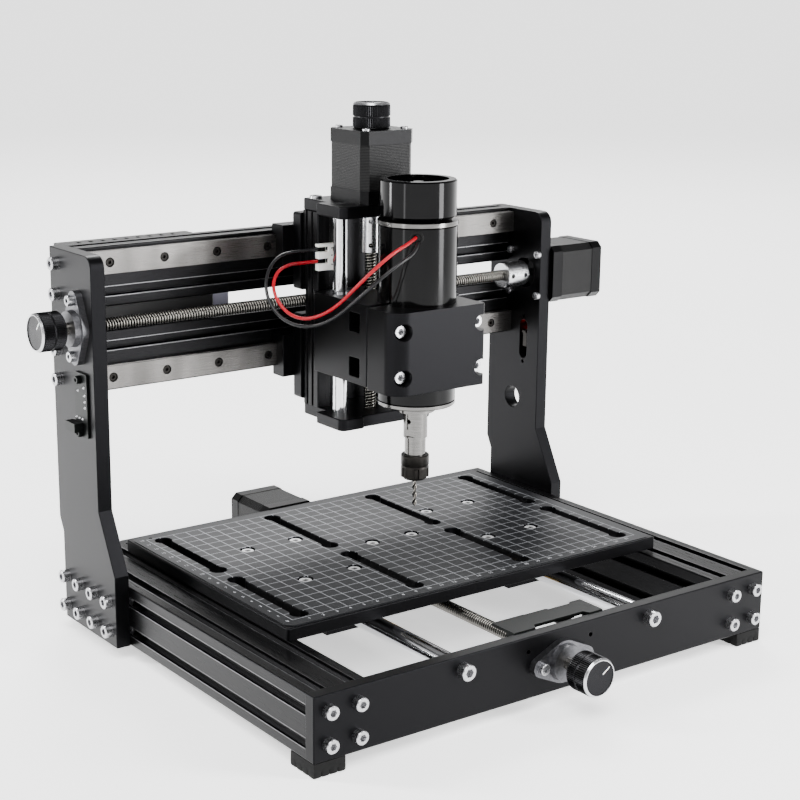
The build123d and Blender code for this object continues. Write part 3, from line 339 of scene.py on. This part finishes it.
def printed_table_sheet():
    """Screen-printed sheet: charcoal squares of 10 mm with pale lines 0.5 mm wide."""
    low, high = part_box("table_overlay")
    middle = tuple((low[i] + high[i]) / 2 / MM for i in range(3))
    mat, shader, in_mm = start("printed_table_sheet", "#1c1d1f", 0.5, 0.36, Specular_IOR_Level=0.3)
    local = add(mat, "VectorMath", {"operation": "SUBTRACT"}, i0=in_mm, i1=middle).outputs[0]
    split = add(mat, "SeparateXYZ", Vector=local).outputs
    lines = maths(mat, "MAXIMUM", stripes(mat, split[0], SQUARE, GRID_LINE),
                  stripes(mat, split[1], SQUARE, GRID_LINE))
    for value, extent in ((split[0], GRID_W), (split[1], GRID_D)):
        inside = maths(mat, "LESS_THAN", maths(mat, "ABSOLUTE", value), extent / 2 + 0.3)
        lines = maths(mat, "MULTIPLY", lines, inside)
    ground = blend_colours(mat, noise(mat, in_mm, 6), linear("#18191b"), linear("#212225"))
    link(mat, blend_colours(mat, lines, ground, linear("#96989c")), shader, "Base Color")
    vary(mat, shader, noise(mat, in_mm, 0.4), None, (0.3, 0.44), 0.02)
    return mat


MOTOR_BOSS, MOTOR_STACK = 2, 30          # pilot boss on the front cap; steel sheets between the caps


def stepper_motor_finish(axis_name):
    """Black satin caps, and between them a stack of steel sheets 0.5 mm thick, seen as fine lines."""
    low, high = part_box(axis_name + "_motor")
    axis = "xyz".index(axis_name)
    mat, shader, in_mm = start("stepper_motor_" + axis_name, "#0b0b0c", 0.85, 0.34)
    along = add(mat, "SeparateXYZ", Vector=in_mm).outputs[axis]
    centre = (low[axis] + high[axis]) / 2 / MM + MOTOR_BOSS / 2
    off = maths(mat, "ABSOLUTE", maths(mat, "SUBTRACT", along, centre))
    stack = maths(mat, "LESS_THAN", off, MOTOR_STACK / 2)
    lines = maths(mat, "MULTIPLY", stack, stripes(mat, along, 1.0, 0.5))
    link(mat, blend_colours(mat, lines, linear("#070708"), linear("#222222")), shader, "Base Color")
    rough = add(mat, "MapRange", Value=stack, To_Min=0.34, To_Max=0.46)
    link(mat, rough.outputs[0], shader, "Roughness")
    height = maths(mat, "ADD", noise(mat, in_mm, 0.4), lines)
    bump = add(mat, "Bump", Strength=0.6, Distance=0.06 * MM, Height=height)
    link(mat, bump.outputs[0], shader, "Normal")
    return mat


ANODISED = bead_blasted_black_anodised_aluminium()
SCREW_STEEL = nickel_plated_screw_steel()
CHROME = hard_chromed_steel()
ALLOY = turned_bright_aluminium()
KNURL = black_anodised_knurl()
ABS = moulded_black_abs()
STEEL = turned_steel()
OXIDE = black_oxide_steel()
NYLON = moulded_white_nylon()
BRASS = yellow_brass()
RUBBER = moulded_nitrile_rubber()
BAR_X, BAR_Y, BAR_Z = [extruded_black_anodised_aluminium(i) for i in range(3)]

finishes = {
    ANODISED: "front_plate rear_plate side_plate_left side_plate_right y_bearing_blocks y_nut_block "
              "x_rail_blocks carriage_plates z_top_plate z_bottom_plate z_slider clamp_cap table_plate",
    BAR_Y: "side_profiles", BAR_X: "gantry_beams", BAR_Z: "z_back_channel",
    ground_rail_steel(): "x_rails",
    CHROME: "y_rods z_rods z_linear_bearings",
    SCREW_STEEL: "frame_screws clamp_screws",
    zinc_plated_screw_steel(): "table_screws",
    die_cast_zinc_alloy(): "flange_bearings",
    RUBBER: "rubber_feet",
    black_solder_mask(): "limit_boards",
    green_glass_epoxy(): "z_limit_board",
    polyester_powder_coat(): "control_box",
    printed_table_sheet(): "table_overlay",
    BRASS: "y_lead_nut x_lead_nut z_lead_nut",
    NYLON: "wire_connector",
    black_lacquered_steel(): "spindle_body",
    polished_black_abs(): "fan_shroud",
    STEEL: "spindle_rings spindle_shaft",
    ABS: "spindle_fan",
    OXIDE: "collet_nut rail_screws x_limit_lever_left x_limit_lever_right y_limit_lever z_limit_lever",
    ALLOY: "x_coupling y_coupling z_coupling",
    stepper_motor_finish("x"): "x_motor",
    stepper_motor_finish("y"): "y_motor",
    stepper_motor_finish("z"): "z_motor",
}
for mat, names in finishes.items():
    for name in names.split():
        mesh = NODES[name].data
        mesh.materials.clear()
        mesh.materials.append(mat)


# ---------------------------------------------------------------- mesh making
def object_from(name, mesh_data, materials, body, smooth=None):
    """Object from a bmesh or mesh, with its materials, riding on a body."""
    if isinstance(mesh_data, bmesh.types.BMesh):
        mesh = bpy.data.meshes.new(name)
        bmesh.ops.recalc_face_normals(mesh_data, faces=mesh_data.faces)
        mesh_data.to_mesh(mesh)
        mesh_data.free()
    else:
        mesh = mesh_data
    piece = bpy.data.objects.new(name, mesh)
    bpy.context.scene.collection.objects.link(piece)
    for mat in materials:
        mesh.materials.append(mat)
    if smooth:
        for face in mesh.polygons:
            face.use_smooth = True
        mesh.set_sharp_from_angle(angle=radians(smooth))
    if body:
        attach(piece, body)
    return piece


def axes_at(origin, direction):
    """Matrix whose Z looks along a direction from an origin in metres."""
    return Matrix.Translation(Vector(origin)) @ Vector(direction).to_track_quat("Z", "Y").to_matrix().to_4x4()


def turned(bm, matrix, rings, segments):
    """Round solid from rings of (height, radius or function of the angle, material), in millimetres."""
    loops = []
    for height, radius, _ in rings:
        loop = []
        for j in range(segments):
            angle = tau * j / segments
            r = radius(angle) if callable(radius) else radius
            loop.append(bm.verts.new(matrix @ (Vector((r * cos(angle), r * sin(angle), height)) * MM)))
        loops.append(loop)
    for ring, lower, upper in zip(rings[1:], loops, loops[1:]):
        for j in range(segments):
            k = (j + 1) % segments
            face = bm.faces.new((lower[j], lower[k], upper[k], upper[j]))
            face.material_index = ring[2]
    for end in (0, -1):
        bm.faces.new(loops[end]).material_index = rings[end][2]


def hexagon(flat):
    """Radius of a hexagon, flat millimetres across its flats, at any angle."""
    return lambda angle: flat / 2 / cos((angle % (pi / 3)) - pi / 6)


def block(bm, low, high, bevel=0.0, material=0):
    """Box between two corners in millimetres, its edges rounded by bevel."""
    made = bmesh.ops.create_cube(bm, size=1)
    size = Vector(high) - Vector(low)
    middle = (Vector(high) + Vector(low)) / 2
    place = Matrix.Translation(middle * MM) @ Matrix.Diagonal((*(size * MM), 1))
    bmesh.ops.transform(bm, matrix=place, verts=made["verts"])
    faces = {f for v in made["verts"] for f in v.link_faces}
    for face in faces:
        face.material_index = material
    if bevel:
        edges = list({e for f in faces for e in f.edges})
        bmesh.ops.bevel(bm, geom=edges, offset=bevel * MM, segments=2, affect="EDGES", profile=0.7)


def socket_head(bm, origin, direction, diameter, height, key):
    """Socket-head screw's head, in millimetres, standing on origin."""
    r = diameter / 2
    rings = [(0, r, 0), (height - 0.4, r, 0), (height, r - 0.4, 0), (height, hexagon(key), 0),
             (height * 0.45, hexagon(key), 0)]
    turned(bm, axes_at(Vector(origin) * MM, direction), rings, 24)


# ---------------------------------------------------------------- lead screws
SCREW_R = 4.0
THREAD_PITCH, THREAD_STARTS, THREAD_DEPTH = 2.0, 2, 0.95
RINGS_PER_PITCH = 8


def thread_radius(height, outside):
    """Radius function of a two-start trapezoidal thread at one height."""
    def radius(angle):
        phase = (height / THREAD_PITCH - THREAD_STARTS * angle / tau) % 1
        climb = min(max((abs(phase - 0.5) - 0.13) / 0.16, 0), 1)
        return outside - THREAD_DEPTH * (1 - climb)
    return radius


def lead_screw(axis_name, direction, plain_start=0.0):
    """Threaded rod in place of a plain one; its first plain_start millimetres stay unthreaded."""
    node = axis_name + "_lead_screw"
    low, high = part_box(node)
    axis = "xyz".index(axis_name)
    middle = (low + high) / 2
    origin = Vector([low[i] if i == axis else middle[i] for i in range(3)])
    length = (high[axis] - low[axis]) / MM
    step = THREAD_PITCH / RINGS_PER_PITCH
    chamfer = 0.6
    rings = [(0, SCREW_R - chamfer, 0), (chamfer, SCREW_R, 0)]
    for i in range(int(length / step) + 1):
        height = i * step
        if chamfer < height < length - chamfer:
            rings.append((height, SCREW_R if height < plain_start else thread_radius(height, SCREW_R), 0))
    rings.append((length, SCREW_R - 1, 0))
    bm = bmesh.new()
    turned(bm, axes_at(origin, direction), rings, 28)
    steel = rolled_thread_steel(axis_name, direction, tuple(origin / MM))
    piece = object_from(node + "_threaded", bm, [steel], axis_name + "_drive", 50)
    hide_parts(node)


lead_screw("x", X, 30)
lead_screw("y", Y, 26)
lead_screw("z", Z)

# ---------------------------------------------------------------- hand knobs
KNOB_LENGTH = 17.0
KNURL_TEETH, KNURL_CREST, KNURL_ROOT = 64, 12.5, 12.0
KNURL_BANDS = ((1.0, 7.4), (8.2, 15.2))


def knurl(angle):
    """Radius of the straight knurl."""
    return KNURL_ROOT + (KNURL_CREST - KNURL_ROOT) * (0.5 + 0.5 * cos(angle * KNURL_TEETH))


def hand_knob(axis_name, direction, pointer):
    """Knurled knob: two bands of straight knurl, bright chamfer, spun hollow face, and a pointer line that
    is turned by pointer degrees."""
    node = axis_name + "_knob"
    low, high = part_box(node)
    middle = (low + high) / 2 / MM
    place = axes_at((middle - direction * KNOB_LENGTH / 2) * MM, direction)
    rings = [(0, 4.2, 0), (0, 11.6, 0), (0.7, 12.1, 0)]
    for bottom, top in KNURL_BANDS:
        rings += [(bottom, 11.9, 0), (bottom + 0.3, knurl, 0), (top - 0.3, knurl, 0), (top, 11.9, 0)]
    rings += [(15.5, 12.3, 0), (15.9, 12.3, 0), (KNOB_LENGTH, 11.4, 1), (KNOB_LENGTH, 10.9, 1),
              (KNOB_LENGTH - 0.5, 10.5, 2), (KNOB_LENGTH - 0.6, 0.4, 2)]
    bm = bmesh.new()
    turned(bm, place, rings, KNURL_TEETH * 4)
    mats = [KNURL, ALLOY, spun_knob_face(axis_name, direction, tuple(middle))]
    piece = object_from(node + "_knurled", bm, mats, axis_name + "_drive", 35)
    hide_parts(node)
    line = bmesh.new()
    block(line, (-0.35, 3.2, KNOB_LENGTH - 0.62), (0.35, 9.6, KNOB_LENGTH - 0.5), 0.03)
    turn = Matrix.Rotation(radians(pointer), 4, "Z")
    bmesh.ops.transform(line, matrix=place @ turn, verts=line.verts)
    object_from(node + "_pointer", line, [NYLON], axis_name + "_drive")


hand_knob("x", -X, -40)
hand_knob("y", -Y, -55)
hand_knob("z", Z, 100)

# ---------------------------------------------------------------- spindle details
spin_low, spin_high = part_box("spindle_shaft")
spin_x, spin_y = [(spin_low[i] + spin_high[i]) / 2 / MM for i in range(2)]
drill_low, drill_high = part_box("drill_bit")
spin_place = Matrix.Translation(Vector((spin_x, spin_y, 0)) * MM)
DRILL_R, DRILL_CORE, DRILL_LEAD = 1.58, 0.8, 11
FLUTE_STEP, FLUTE_RINGS, FLUTED = 0.4, 42, 19


def flute_radius(height):
    """Radius function of a two-flute twist drill at one height."""
    def radius(angle):
        phase = (2 * (angle / tau - height / DRILL_LEAD)) % 1
        land = min(max((abs(phase - 0.5) - 0.2) / 0.2, 0), 1)
        return DRILL_R - (DRILL_R - DRILL_CORE) * (1 - land)
    return radius


drill_bottom, drill_top = drill_low.z / MM, drill_high.z / MM
rings = [(drill_bottom, 0.15, 0), (drill_bottom + 1.0, flute_radius(drill_bottom), 0)]
for i in range(FLUTE_RINGS):
    height = drill_bottom + 1.4 + FLUTE_STEP * i
    rings.append((height, flute_radius(height), 0))
rings += [(drill_bottom + FLUTED, DRILL_R, 0), (drill_top, DRILL_R, 0)]
bm = bmesh.new()
turned(bm, spin_place, rings, 28)
drill = object_from("twist_drill", bm, [ground_high_speed_steel()], "spindle_rotor", 40)
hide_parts("drill_bit")


NUT_BOTTOM, NUT_TOP, NUT_R = 104.0, 121.0, 9.5
NUT_SLOT_R, NUT_SLOT_HALF = 8.3, radians(9)


def slotted_nut(angle):
    """Nut outline with six wrench slots."""
    near = abs(((angle + pi / 6) % (pi / 3)) - pi / 6)
    return NUT_SLOT_R if near < NUT_SLOT_HALF else NUT_R


outline = [(0.6, 2.0), (0, 4.6), (0, 7.4), (1.4, 8.4), (1.6, slotted_nut), (7.6, slotted_nut), (8.2, NUT_R),
           (9.4, 9.2), (10.2, NUT_R)]
rings = [(NUT_BOTTOM + height, radius, 0) for height, radius in outline]
rings += [(NUT_TOP - 0.6, NUT_R, 0), (NUT_TOP, 9.0, 0), (NUT_TOP, 7.1, 0)]
bm = bmesh.new()
turned(bm, spin_place, rings, 96)
nut = object_from("clamping_nut", bm, [OXIDE], "spindle_rotor", 30)
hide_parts("collet_nut")

# rubber ring where the wires leave the can, facing the front left
grommet_out = Vector((-0.62, -0.78, 0)).normalized()
grommet_at = Vector((spin_x, spin_y, 270)) + grommet_out * 25.6
bm = bmesh.new()
rings = [(0, 4.6, 0), (1.4, 4.5, 0), (2.2, 3.9, 0), (2.3, 3.1, 0), (1.2, 2.5, 0)]
turned(bm, axes_at(grommet_at * MM, grommet_out), rings, 32)
object_from("wire_grommet", bm, [RUBBER], "z_carriage", 60)

# ---------------------------------------------------------------- spindle wires
WIRE_D = 2.2
RED_ROUTE = [(-10.2, -13.8, 270.4), (-23, -25, 269.8), (-38, -29, 266), (-51, -26, 256), (-58, -15, 243),
             (-61, -2, 231), (-65, 12, 222), (-71, 25, 218), (-76, 38, 222), (-78, 49, 234),
             (-68, 60, 243.5), (-53, 68, 246), (-38, 75.8, 244.5), (-25, 75.8, 244.5)]
BLACK_ROUTE = [(-8.8, -14.6, 267.4), (-20, -27.5, 264), (-37, -30, 257.5), (-50, -25, 246.5), (-57, -13, 234),
               (-61, 0, 223), (-66, 14, 215.3), (-74, 28, 213.5), (-81, 42, 221), (-81, 53, 234),
               (-72, 63, 246), (-57, 71, 253), (-40, 75.8, 252.7), (-25, 75.8, 252.7)]


def wire(name, node, points, mat):
    """Soft round wire on one smooth spline from the grommet to the connector."""
    curve = bpy.data.curves.new(name, "CURVE")
    curve.dimensions = "3D"
    spline = curve.splines.new("NURBS")
    spline.points.add(len(points) - 1)
    for target, point in zip(spline.points, points):
        target.co = (*[c * MM for c in point], 1)
    spline.order_u = 3
    spline.use_endpoint_u = True
    spline.resolution_u = 8
    guide = bpy.data.objects.new(name + "_guide", curve)
    bpy.context.scene.collection.objects.link(guide)
    bpy.context.view_layer.update()
    depsgraph = bpy.context.evaluated_depsgraph_get()
    line = bpy.data.meshes.new_from_object(guide.evaluated_get(depsgraph))
    curve.bevel_depth = WIRE_D / 2 * MM
    curve.bevel_resolution = 4
    curve.use_fill_caps = True
    bpy.context.view_layer.update()
    depsgraph = bpy.context.evaluated_depsgraph_get()
    tube = bpy.data.meshes.new_from_object(guide.evaluated_get(depsgraph))
    bpy.data.objects.remove(guide)
    tube.materials.clear()
    piece = object_from(name, tube, [mat], None)
    for face in tube.polygons:
        face.use_smooth = True
    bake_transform(piece)
    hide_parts(node)


wire("red_spindle_wire", "red_wire", RED_ROUTE,
     silicone_wire("red_silicone", "#7c0010", "#9a0216"))
wire("black_spindle_wire", "black_wire", BLACK_ROUTE,
     silicone_wire("black_silicone", "#0a0a0b", "#141416"))


# ---------------------------------------------------------------- table numbers
def numbers():
    """Scale numbers beside the printed grid, one for every 10 mm line."""
    low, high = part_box("table_overlay")
    cx, cy, top = (low.x + high.x) / 2, (low.y + high.y) / 2, high.z
    left, front = cx - GRID_W / 2 * MM, cy - GRID_D / 2 * MM
    pitch = SQUARE * MM
    spots = [(str(i), (left + i * pitch, front - 3.3 * MM)) for i in range(1, GRID_W // SQUARE)]
    spots += [(str(i), (left - 3.6 * MM, front + i * pitch)) for i in range(GRID_D // SQUARE + 1)]
    joined = bmesh.new()
    for text, (x, y) in spots:
        curve = bpy.data.curves.new("number", "FONT")
        curve.body = text
        curve.size = 3.4 * MM
        curve.align_x, curve.align_y = "CENTER", "CENTER"
        curve.extrude = 0.02 * MM
        label = bpy.data.objects.new("number", curve)
        bpy.context.scene.collection.objects.link(label)
        label.location = (x, y, top + 0.02 * MM)
        bpy.context.view_layer.update()
        flat = bpy.data.meshes.new_from_object(label.evaluated_get(bpy.context.evaluated_depsgraph_get()))
        flat.transform(label.matrix_world)
        joined.from_mesh(flat)
        bpy.data.objects.remove(label)
    mat, shader, in_mm = start("screen_printed_ink", "#a5a7ab", 0, 0.5, IOR=1.5)
    vary(mat, shader, noise(mat, in_mm, 0.5), ("#95979b", "#b4b6ba"), (0.45, 0.6), 0.01)
    object_from("table_numbers", joined, [mat], "table")


numbers()

# ---------------------------------------------------------------- small electrical parts
SOLDER_JOINT = [(0, 0.95, 0), (0.35, 0.8, 0), (0.9, 0.35, 0), (1.1, 0.1, 0)]
BOARD_FACE = 191.6                       # outer face of each side limit board, from the middle


def indicator_and_joints():
    """Lit indicator in the right side plate's window, and solder joints on the side limit boards."""
    bm = bmesh.new()
    block(bm, (187.6, 100.2, 167.4), (189.8, 103, 170.6), 0.3)
    object_from("lit_indicator", bm, [red_light_lens()], "frame", 40)
    bm = bmesh.new()
    for sx in (-1, 1):
        for y, z in ((93, 171), (93, 167), (93, 163), (97, 155), (101, 155), (105, 155), (94, 176),
                     (102, 173)):
            turned(bm, axes_at(Vector((sx * BOARD_FACE, y, z)) * MM, X * sx), SOLDER_JOINT, 12)
    object_from("solder_joints", bm, [SCREW_STEEL], "frame", 60)


indicator_and_joints()


def prong_connector():
    """Two-pin connector: solid back and three prongs, with a wire between each two."""
    low, high = [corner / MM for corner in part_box("wire_connector")]
    back = low.x + 8
    bm = bmesh.new()
    block(bm, (back, low.y, low.z), high, 0.4)
    for bottom, top in ((low.z + 0.2, low.z + 4.6), (low.z + 8.2, low.z + 12.6), (high.z - 1.8, high.z)):
        block(bm, (low.x, low.y, bottom), (back + 0.5, high.y, top), 0.3)
    for z in (low.z + 6.5, high.z - 3.3):
        block(bm, (back - 0.3, low.y + 1.1, z - 1.3), (back + 0.1, high.y - 1.1, z + 1.3), 0.1, 1)
    for z in (low.z + 3.2, low.z + 9.5, high.z - 3.6):
        block(bm, (back + 2, low.y, z), (high.x - 2, low.y + 0.15, z + 1.2), 0.05, 1)
    piece = object_from("two_pin_connector", bm, [NYLON, ABS], "x_carriage", 40)
    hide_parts("wire_connector")


prong_connector()
FOOT_W, FOOT_D, TREAD_ROWS = 22, 24, 4


def tread_feet():
    """Feet moulded with a tread of small rounded blocks."""
    low, high = [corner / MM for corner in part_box("rubber_feet")]
    wide, deep = FOOT_W / TREAD_ROWS, FOOT_D / TREAD_ROWS
    bm = bmesh.new()
    for x0 in (low.x, high.x - FOOT_W):
        for y0 in (low.y, high.y - FOOT_D):
            block(bm, (x0 + 0.2, y0 + 0.2, 3), (x0 + FOOT_W - 0.2, y0 + FOOT_D - 0.2, high.z), 0.6)
            for i in range(TREAD_ROWS):
                for j in range(TREAD_ROWS):
                    x, y = x0 + wide * i, y0 + deep * j
                    block(bm, (x, y, low.z), (x + wide, y + deep, 5.5), 1.5)
    piece = object_from("tread_feet", bm, [RUBBER], "frame", 50)
    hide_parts("rubber_feet")


tread_feet()

# ---------------------------------------------------------------- screws
# the Z motor's own screws, at the corners of its top cap
motor_low, motor_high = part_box("z_motor")
mx, my = [(motor_low[i] + motor_high[i]) / 2 / MM for i in range(2)]
MOTOR_SCREW = 15.5                       # from the motor's axis
bm = bmesh.new()
for sx in (-1, 1):
    for sy in (-1, 1):
        spot = (mx + sx * MOTOR_SCREW, my + sy * MOTOR_SCREW, motor_high.z / MM)
        socket_head(bm, spot, Z, 5.2, 1.6, 2.5)
object_from("z_motor_screws", bm, [SCREW_STEEL], "x_carriage", 35)

# screws of the column's top plate, their heads let into it
bm = bmesh.new()
for x in (-17, 33):
    socket_head(bm, (x, 89, motor_low.z / MM), Z, 8.5, 4, 4)
object_from("column_screws", bm, [SCREW_STEEL], "x_carriage", 35)

# solder and round-headed screws of the column's limit board
DOME_HEAD = [(0, 2.7, 0), (1.1, 2.4, 0), (1.8, 1.4, 0), (2, 0.6, 0)]
board_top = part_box("z_limit_board")[1].z / MM
bm = bmesh.new()
for x, y in ((35, 56), (38, 56), (41, 56), (44.5, 62), (44.5, 66), (35, 63), (37.5, 67), (41, 71), (44, 75)):
    turned(bm, axes_at(Vector((x, y, board_top)) * MM, Z), SOLDER_JOINT, 12)
for y in (52, 80):
    turned(bm, axes_at(Vector((40, y, board_top)) * MM, Z), DOME_HEAD, 20)
object_from("z_board_solder", bm, [SCREW_STEEL], "x_carriage", 60)

# painted shade in the table screws' sockets: black hex discs 0.4 mm below the heads' tops, where the deep
# sockets lie in shade
TABLE_Y, ROD_X = 22, 75                  # table's middle, and its rods' distance from it
table_screws = [(side * (ROD_X + dx), TABLE_Y + dy)
                for side in (-1, 1) for dx in (-19, 19) for dy in (-34.7, 34.7)]
table_screws += [(-16.5, TABLE_Y), (16.5, TABLE_Y)]
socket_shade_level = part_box("table_screws")[1].z / MM - 0.4
bm = bmesh.new()
# painted shade: one black disc in each socket
for x, y in table_screws:
    turned(bm, Matrix.Translation(Vector((x, y, socket_shade_level)) * MM),
           [(-0.2, hexagon(3.9), 0), (0, hexagon(3.9), 0)], 12)
object_from("table_screw_socket_shade", bm, [OXIDE], "table")

# ---------------------------------------------------------------- extrusions and control box
SLOT_HALF, LIP_W, LIP_T = 3.1, 0.5, 0.06


def lip_edges(middle):
    """Where the two lips of a slot start."""
    return middle - SLOT_HALF - LIP_W, middle + SLOT_HALF


def slot_lips():
    """Pale strips along the edges of the extrusions' slots, 0.5 mm wide and 0.06 mm proud: painted highlights
    where the slot lips catch the light.
    """
    # painted highlight: pale grey strips stand in for light caught by the slot lips
    lip_highlight, shader, in_mm = start("painted_highlight_slot_lip", "#6a6a6c", 1, 0.34)
    vary(lip_highlight, shader, noise(lip_highlight, in_mm, 4), ("#3a3a3c", "#8c8c8e"), (0.28, 0.42), 0.01)
    low, high = [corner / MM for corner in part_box("side_profiles")]
    beam_low, beam_high = [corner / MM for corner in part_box("gantry_beams")]
    bm = bmesh.new()
    for side in (-1, 1):
        inner, outer = sorted((side * high.x, side * (high.x + LIP_T)))
        for row in (10, 30):
            for z in lip_edges(low.z + row):
                block(bm, (inner, low.y, z), (outer, high.y, z + LIP_W))
            for x in lip_edges(side * (high.x - row)):
                block(bm, (x, low.y, high.z), (x + LIP_W, high.y, high.z + LIP_T))
    object_from("side_slot_lips", bm, [lip_highlight], "frame")
    bm = bmesh.new()
    for middle in (beam_low.z + 30, beam_high.z - 30):
        for z in lip_edges(middle):
            block(bm, (beam_low.x, beam_low.y - LIP_T, z), (beam_high.x, beam_low.y, z + LIP_W))
    for y in lip_edges((beam_low.y + beam_high.y) / 2):
        block(bm, (beam_low.x, y, beam_high.z), (beam_high.x, y + LIP_W, beam_high.z + LIP_T))
    object_from("beam_slot_lips", bm, [lip_highlight], "frame")


slot_lips()

# pale lilac-grey face on the control box's arm, seen between the gantry beams
bm = bmesh.new()
block(bm, (-66.6, 145.75, 206.4), (-52.9, 146.0, 219.6), 0.05)
lilac, shader, in_mm = start("pale_lilac_grey_face", "#a9a8bd", 0, 0.5, IOR=1.5)
vary(lilac, shader, noise(lilac, in_mm, 1.0), ("#a09fb4", "#b4b3c6"), (0.45, 0.6), 0.01)
object_from("arm_pale_face", bm, [lilac], "frame")


# ---------------------------------------------------------------- stage, lights, camera
def place_light(name, kind, energy):
    """New light of a kind, and its object."""
    light = bpy.data.lights.new(name, kind)
    light.energy = energy
    lamp = bpy.data.objects.new(name, light)
    bpy.context.scene.collection.objects.link(lamp)
    return light, lamp


def studio():
    """White floor that glows a little, a sky brighter at its horizon, a soft sun and four light boxes."""
    bm = bmesh.new()
    bmesh.ops.create_grid(bm, x_segments=2, y_segments=2, size=60)
    floor = object_from("studio_floor", bm, [], None)
    mat, shader, in_mm = start("matt_white_floor", "#f4f4f4", 0, 0.7)
    vary(mat, shader, noise(mat, in_mm, 400, detail=1.0), ("#fafafa", "#fdfdfd"))
    shader.inputs["Emission Color"].default_value = (1, 1, 1, 1)
    shader.inputs["Emission Strength"].default_value = 0.9
    floor.data.materials.append(mat)
    world = bpy.data.worlds.new("studio")
    world.use_nodes = True
    background = world.node_tree.nodes["Background"]
    background.inputs["Color"].default_value = (1, 1, 1, 1)
    up = add(world, "SeparateXYZ", Vector=add(world, "TexCoord").outputs["Generated"]).outputs[2]
    glow = add(world, "MapRange", Value=up, From_Min=0.0, From_Max=0.6, To_Min=1.15, To_Max=0.3)
    link(world, glow.outputs[0], background, "Strength")
    bpy.context.scene.world = world
    sun, lamp = place_light("soft_sun", "SUN", 4.5)
    sun.angle = radians(40)
    lamp.rotation_euler = (radians(24), radians(-22), 0)
    target = Vector((0, 0, 0.16))
    for name, place, width, height, power in (
            ("right_box", (0.72, -1.02, 0.5), 0.35, 1.2, 34),
            ("left_strip", (-1.35, -0.3, 0.5), 0.12, 1.3, 4),
            ("rear_strip", (-1.1, 0.8, 0.5), 0.16, 1.3, 34), ("back_box", (1.35, 1.87, 1.93), 1.5, 0.6, 60)):
        light, lamp = place_light(name, "AREA", power)
        light.shape = "RECTANGLE"
        light.size, light.size_y = width, height
        lamp.location = place
        lamp.rotation_euler = (target - Vector(place)).to_track_quat("-Z", "Y").to_euler()


studio()

AZIMUTH, ELEVATION, ROLL = radians(35.85), radians(14.22), radians(0.36)
camera_data = bpy.data.cameras.new("camera")
camera_data.lens = 77.8
camera_data.shift_x, camera_data.shift_y = 0.0347, 0.0086
camera = bpy.data.objects.new("camera", camera_data)
bpy.context.scene.collection.objects.link(camera)
camera.location = (-0.6679, -0.8783, 0.4353)
facing = Matrix.Rotation(-AZIMUTH, 4, "Z") @ Matrix.Rotation(pi / 2 - ELEVATION, 4, "X")
camera.rotation_euler = (facing @ Matrix.Rotation(ROLL, 4, "Z")).to_euler()
bpy.context.scene.camera = camera
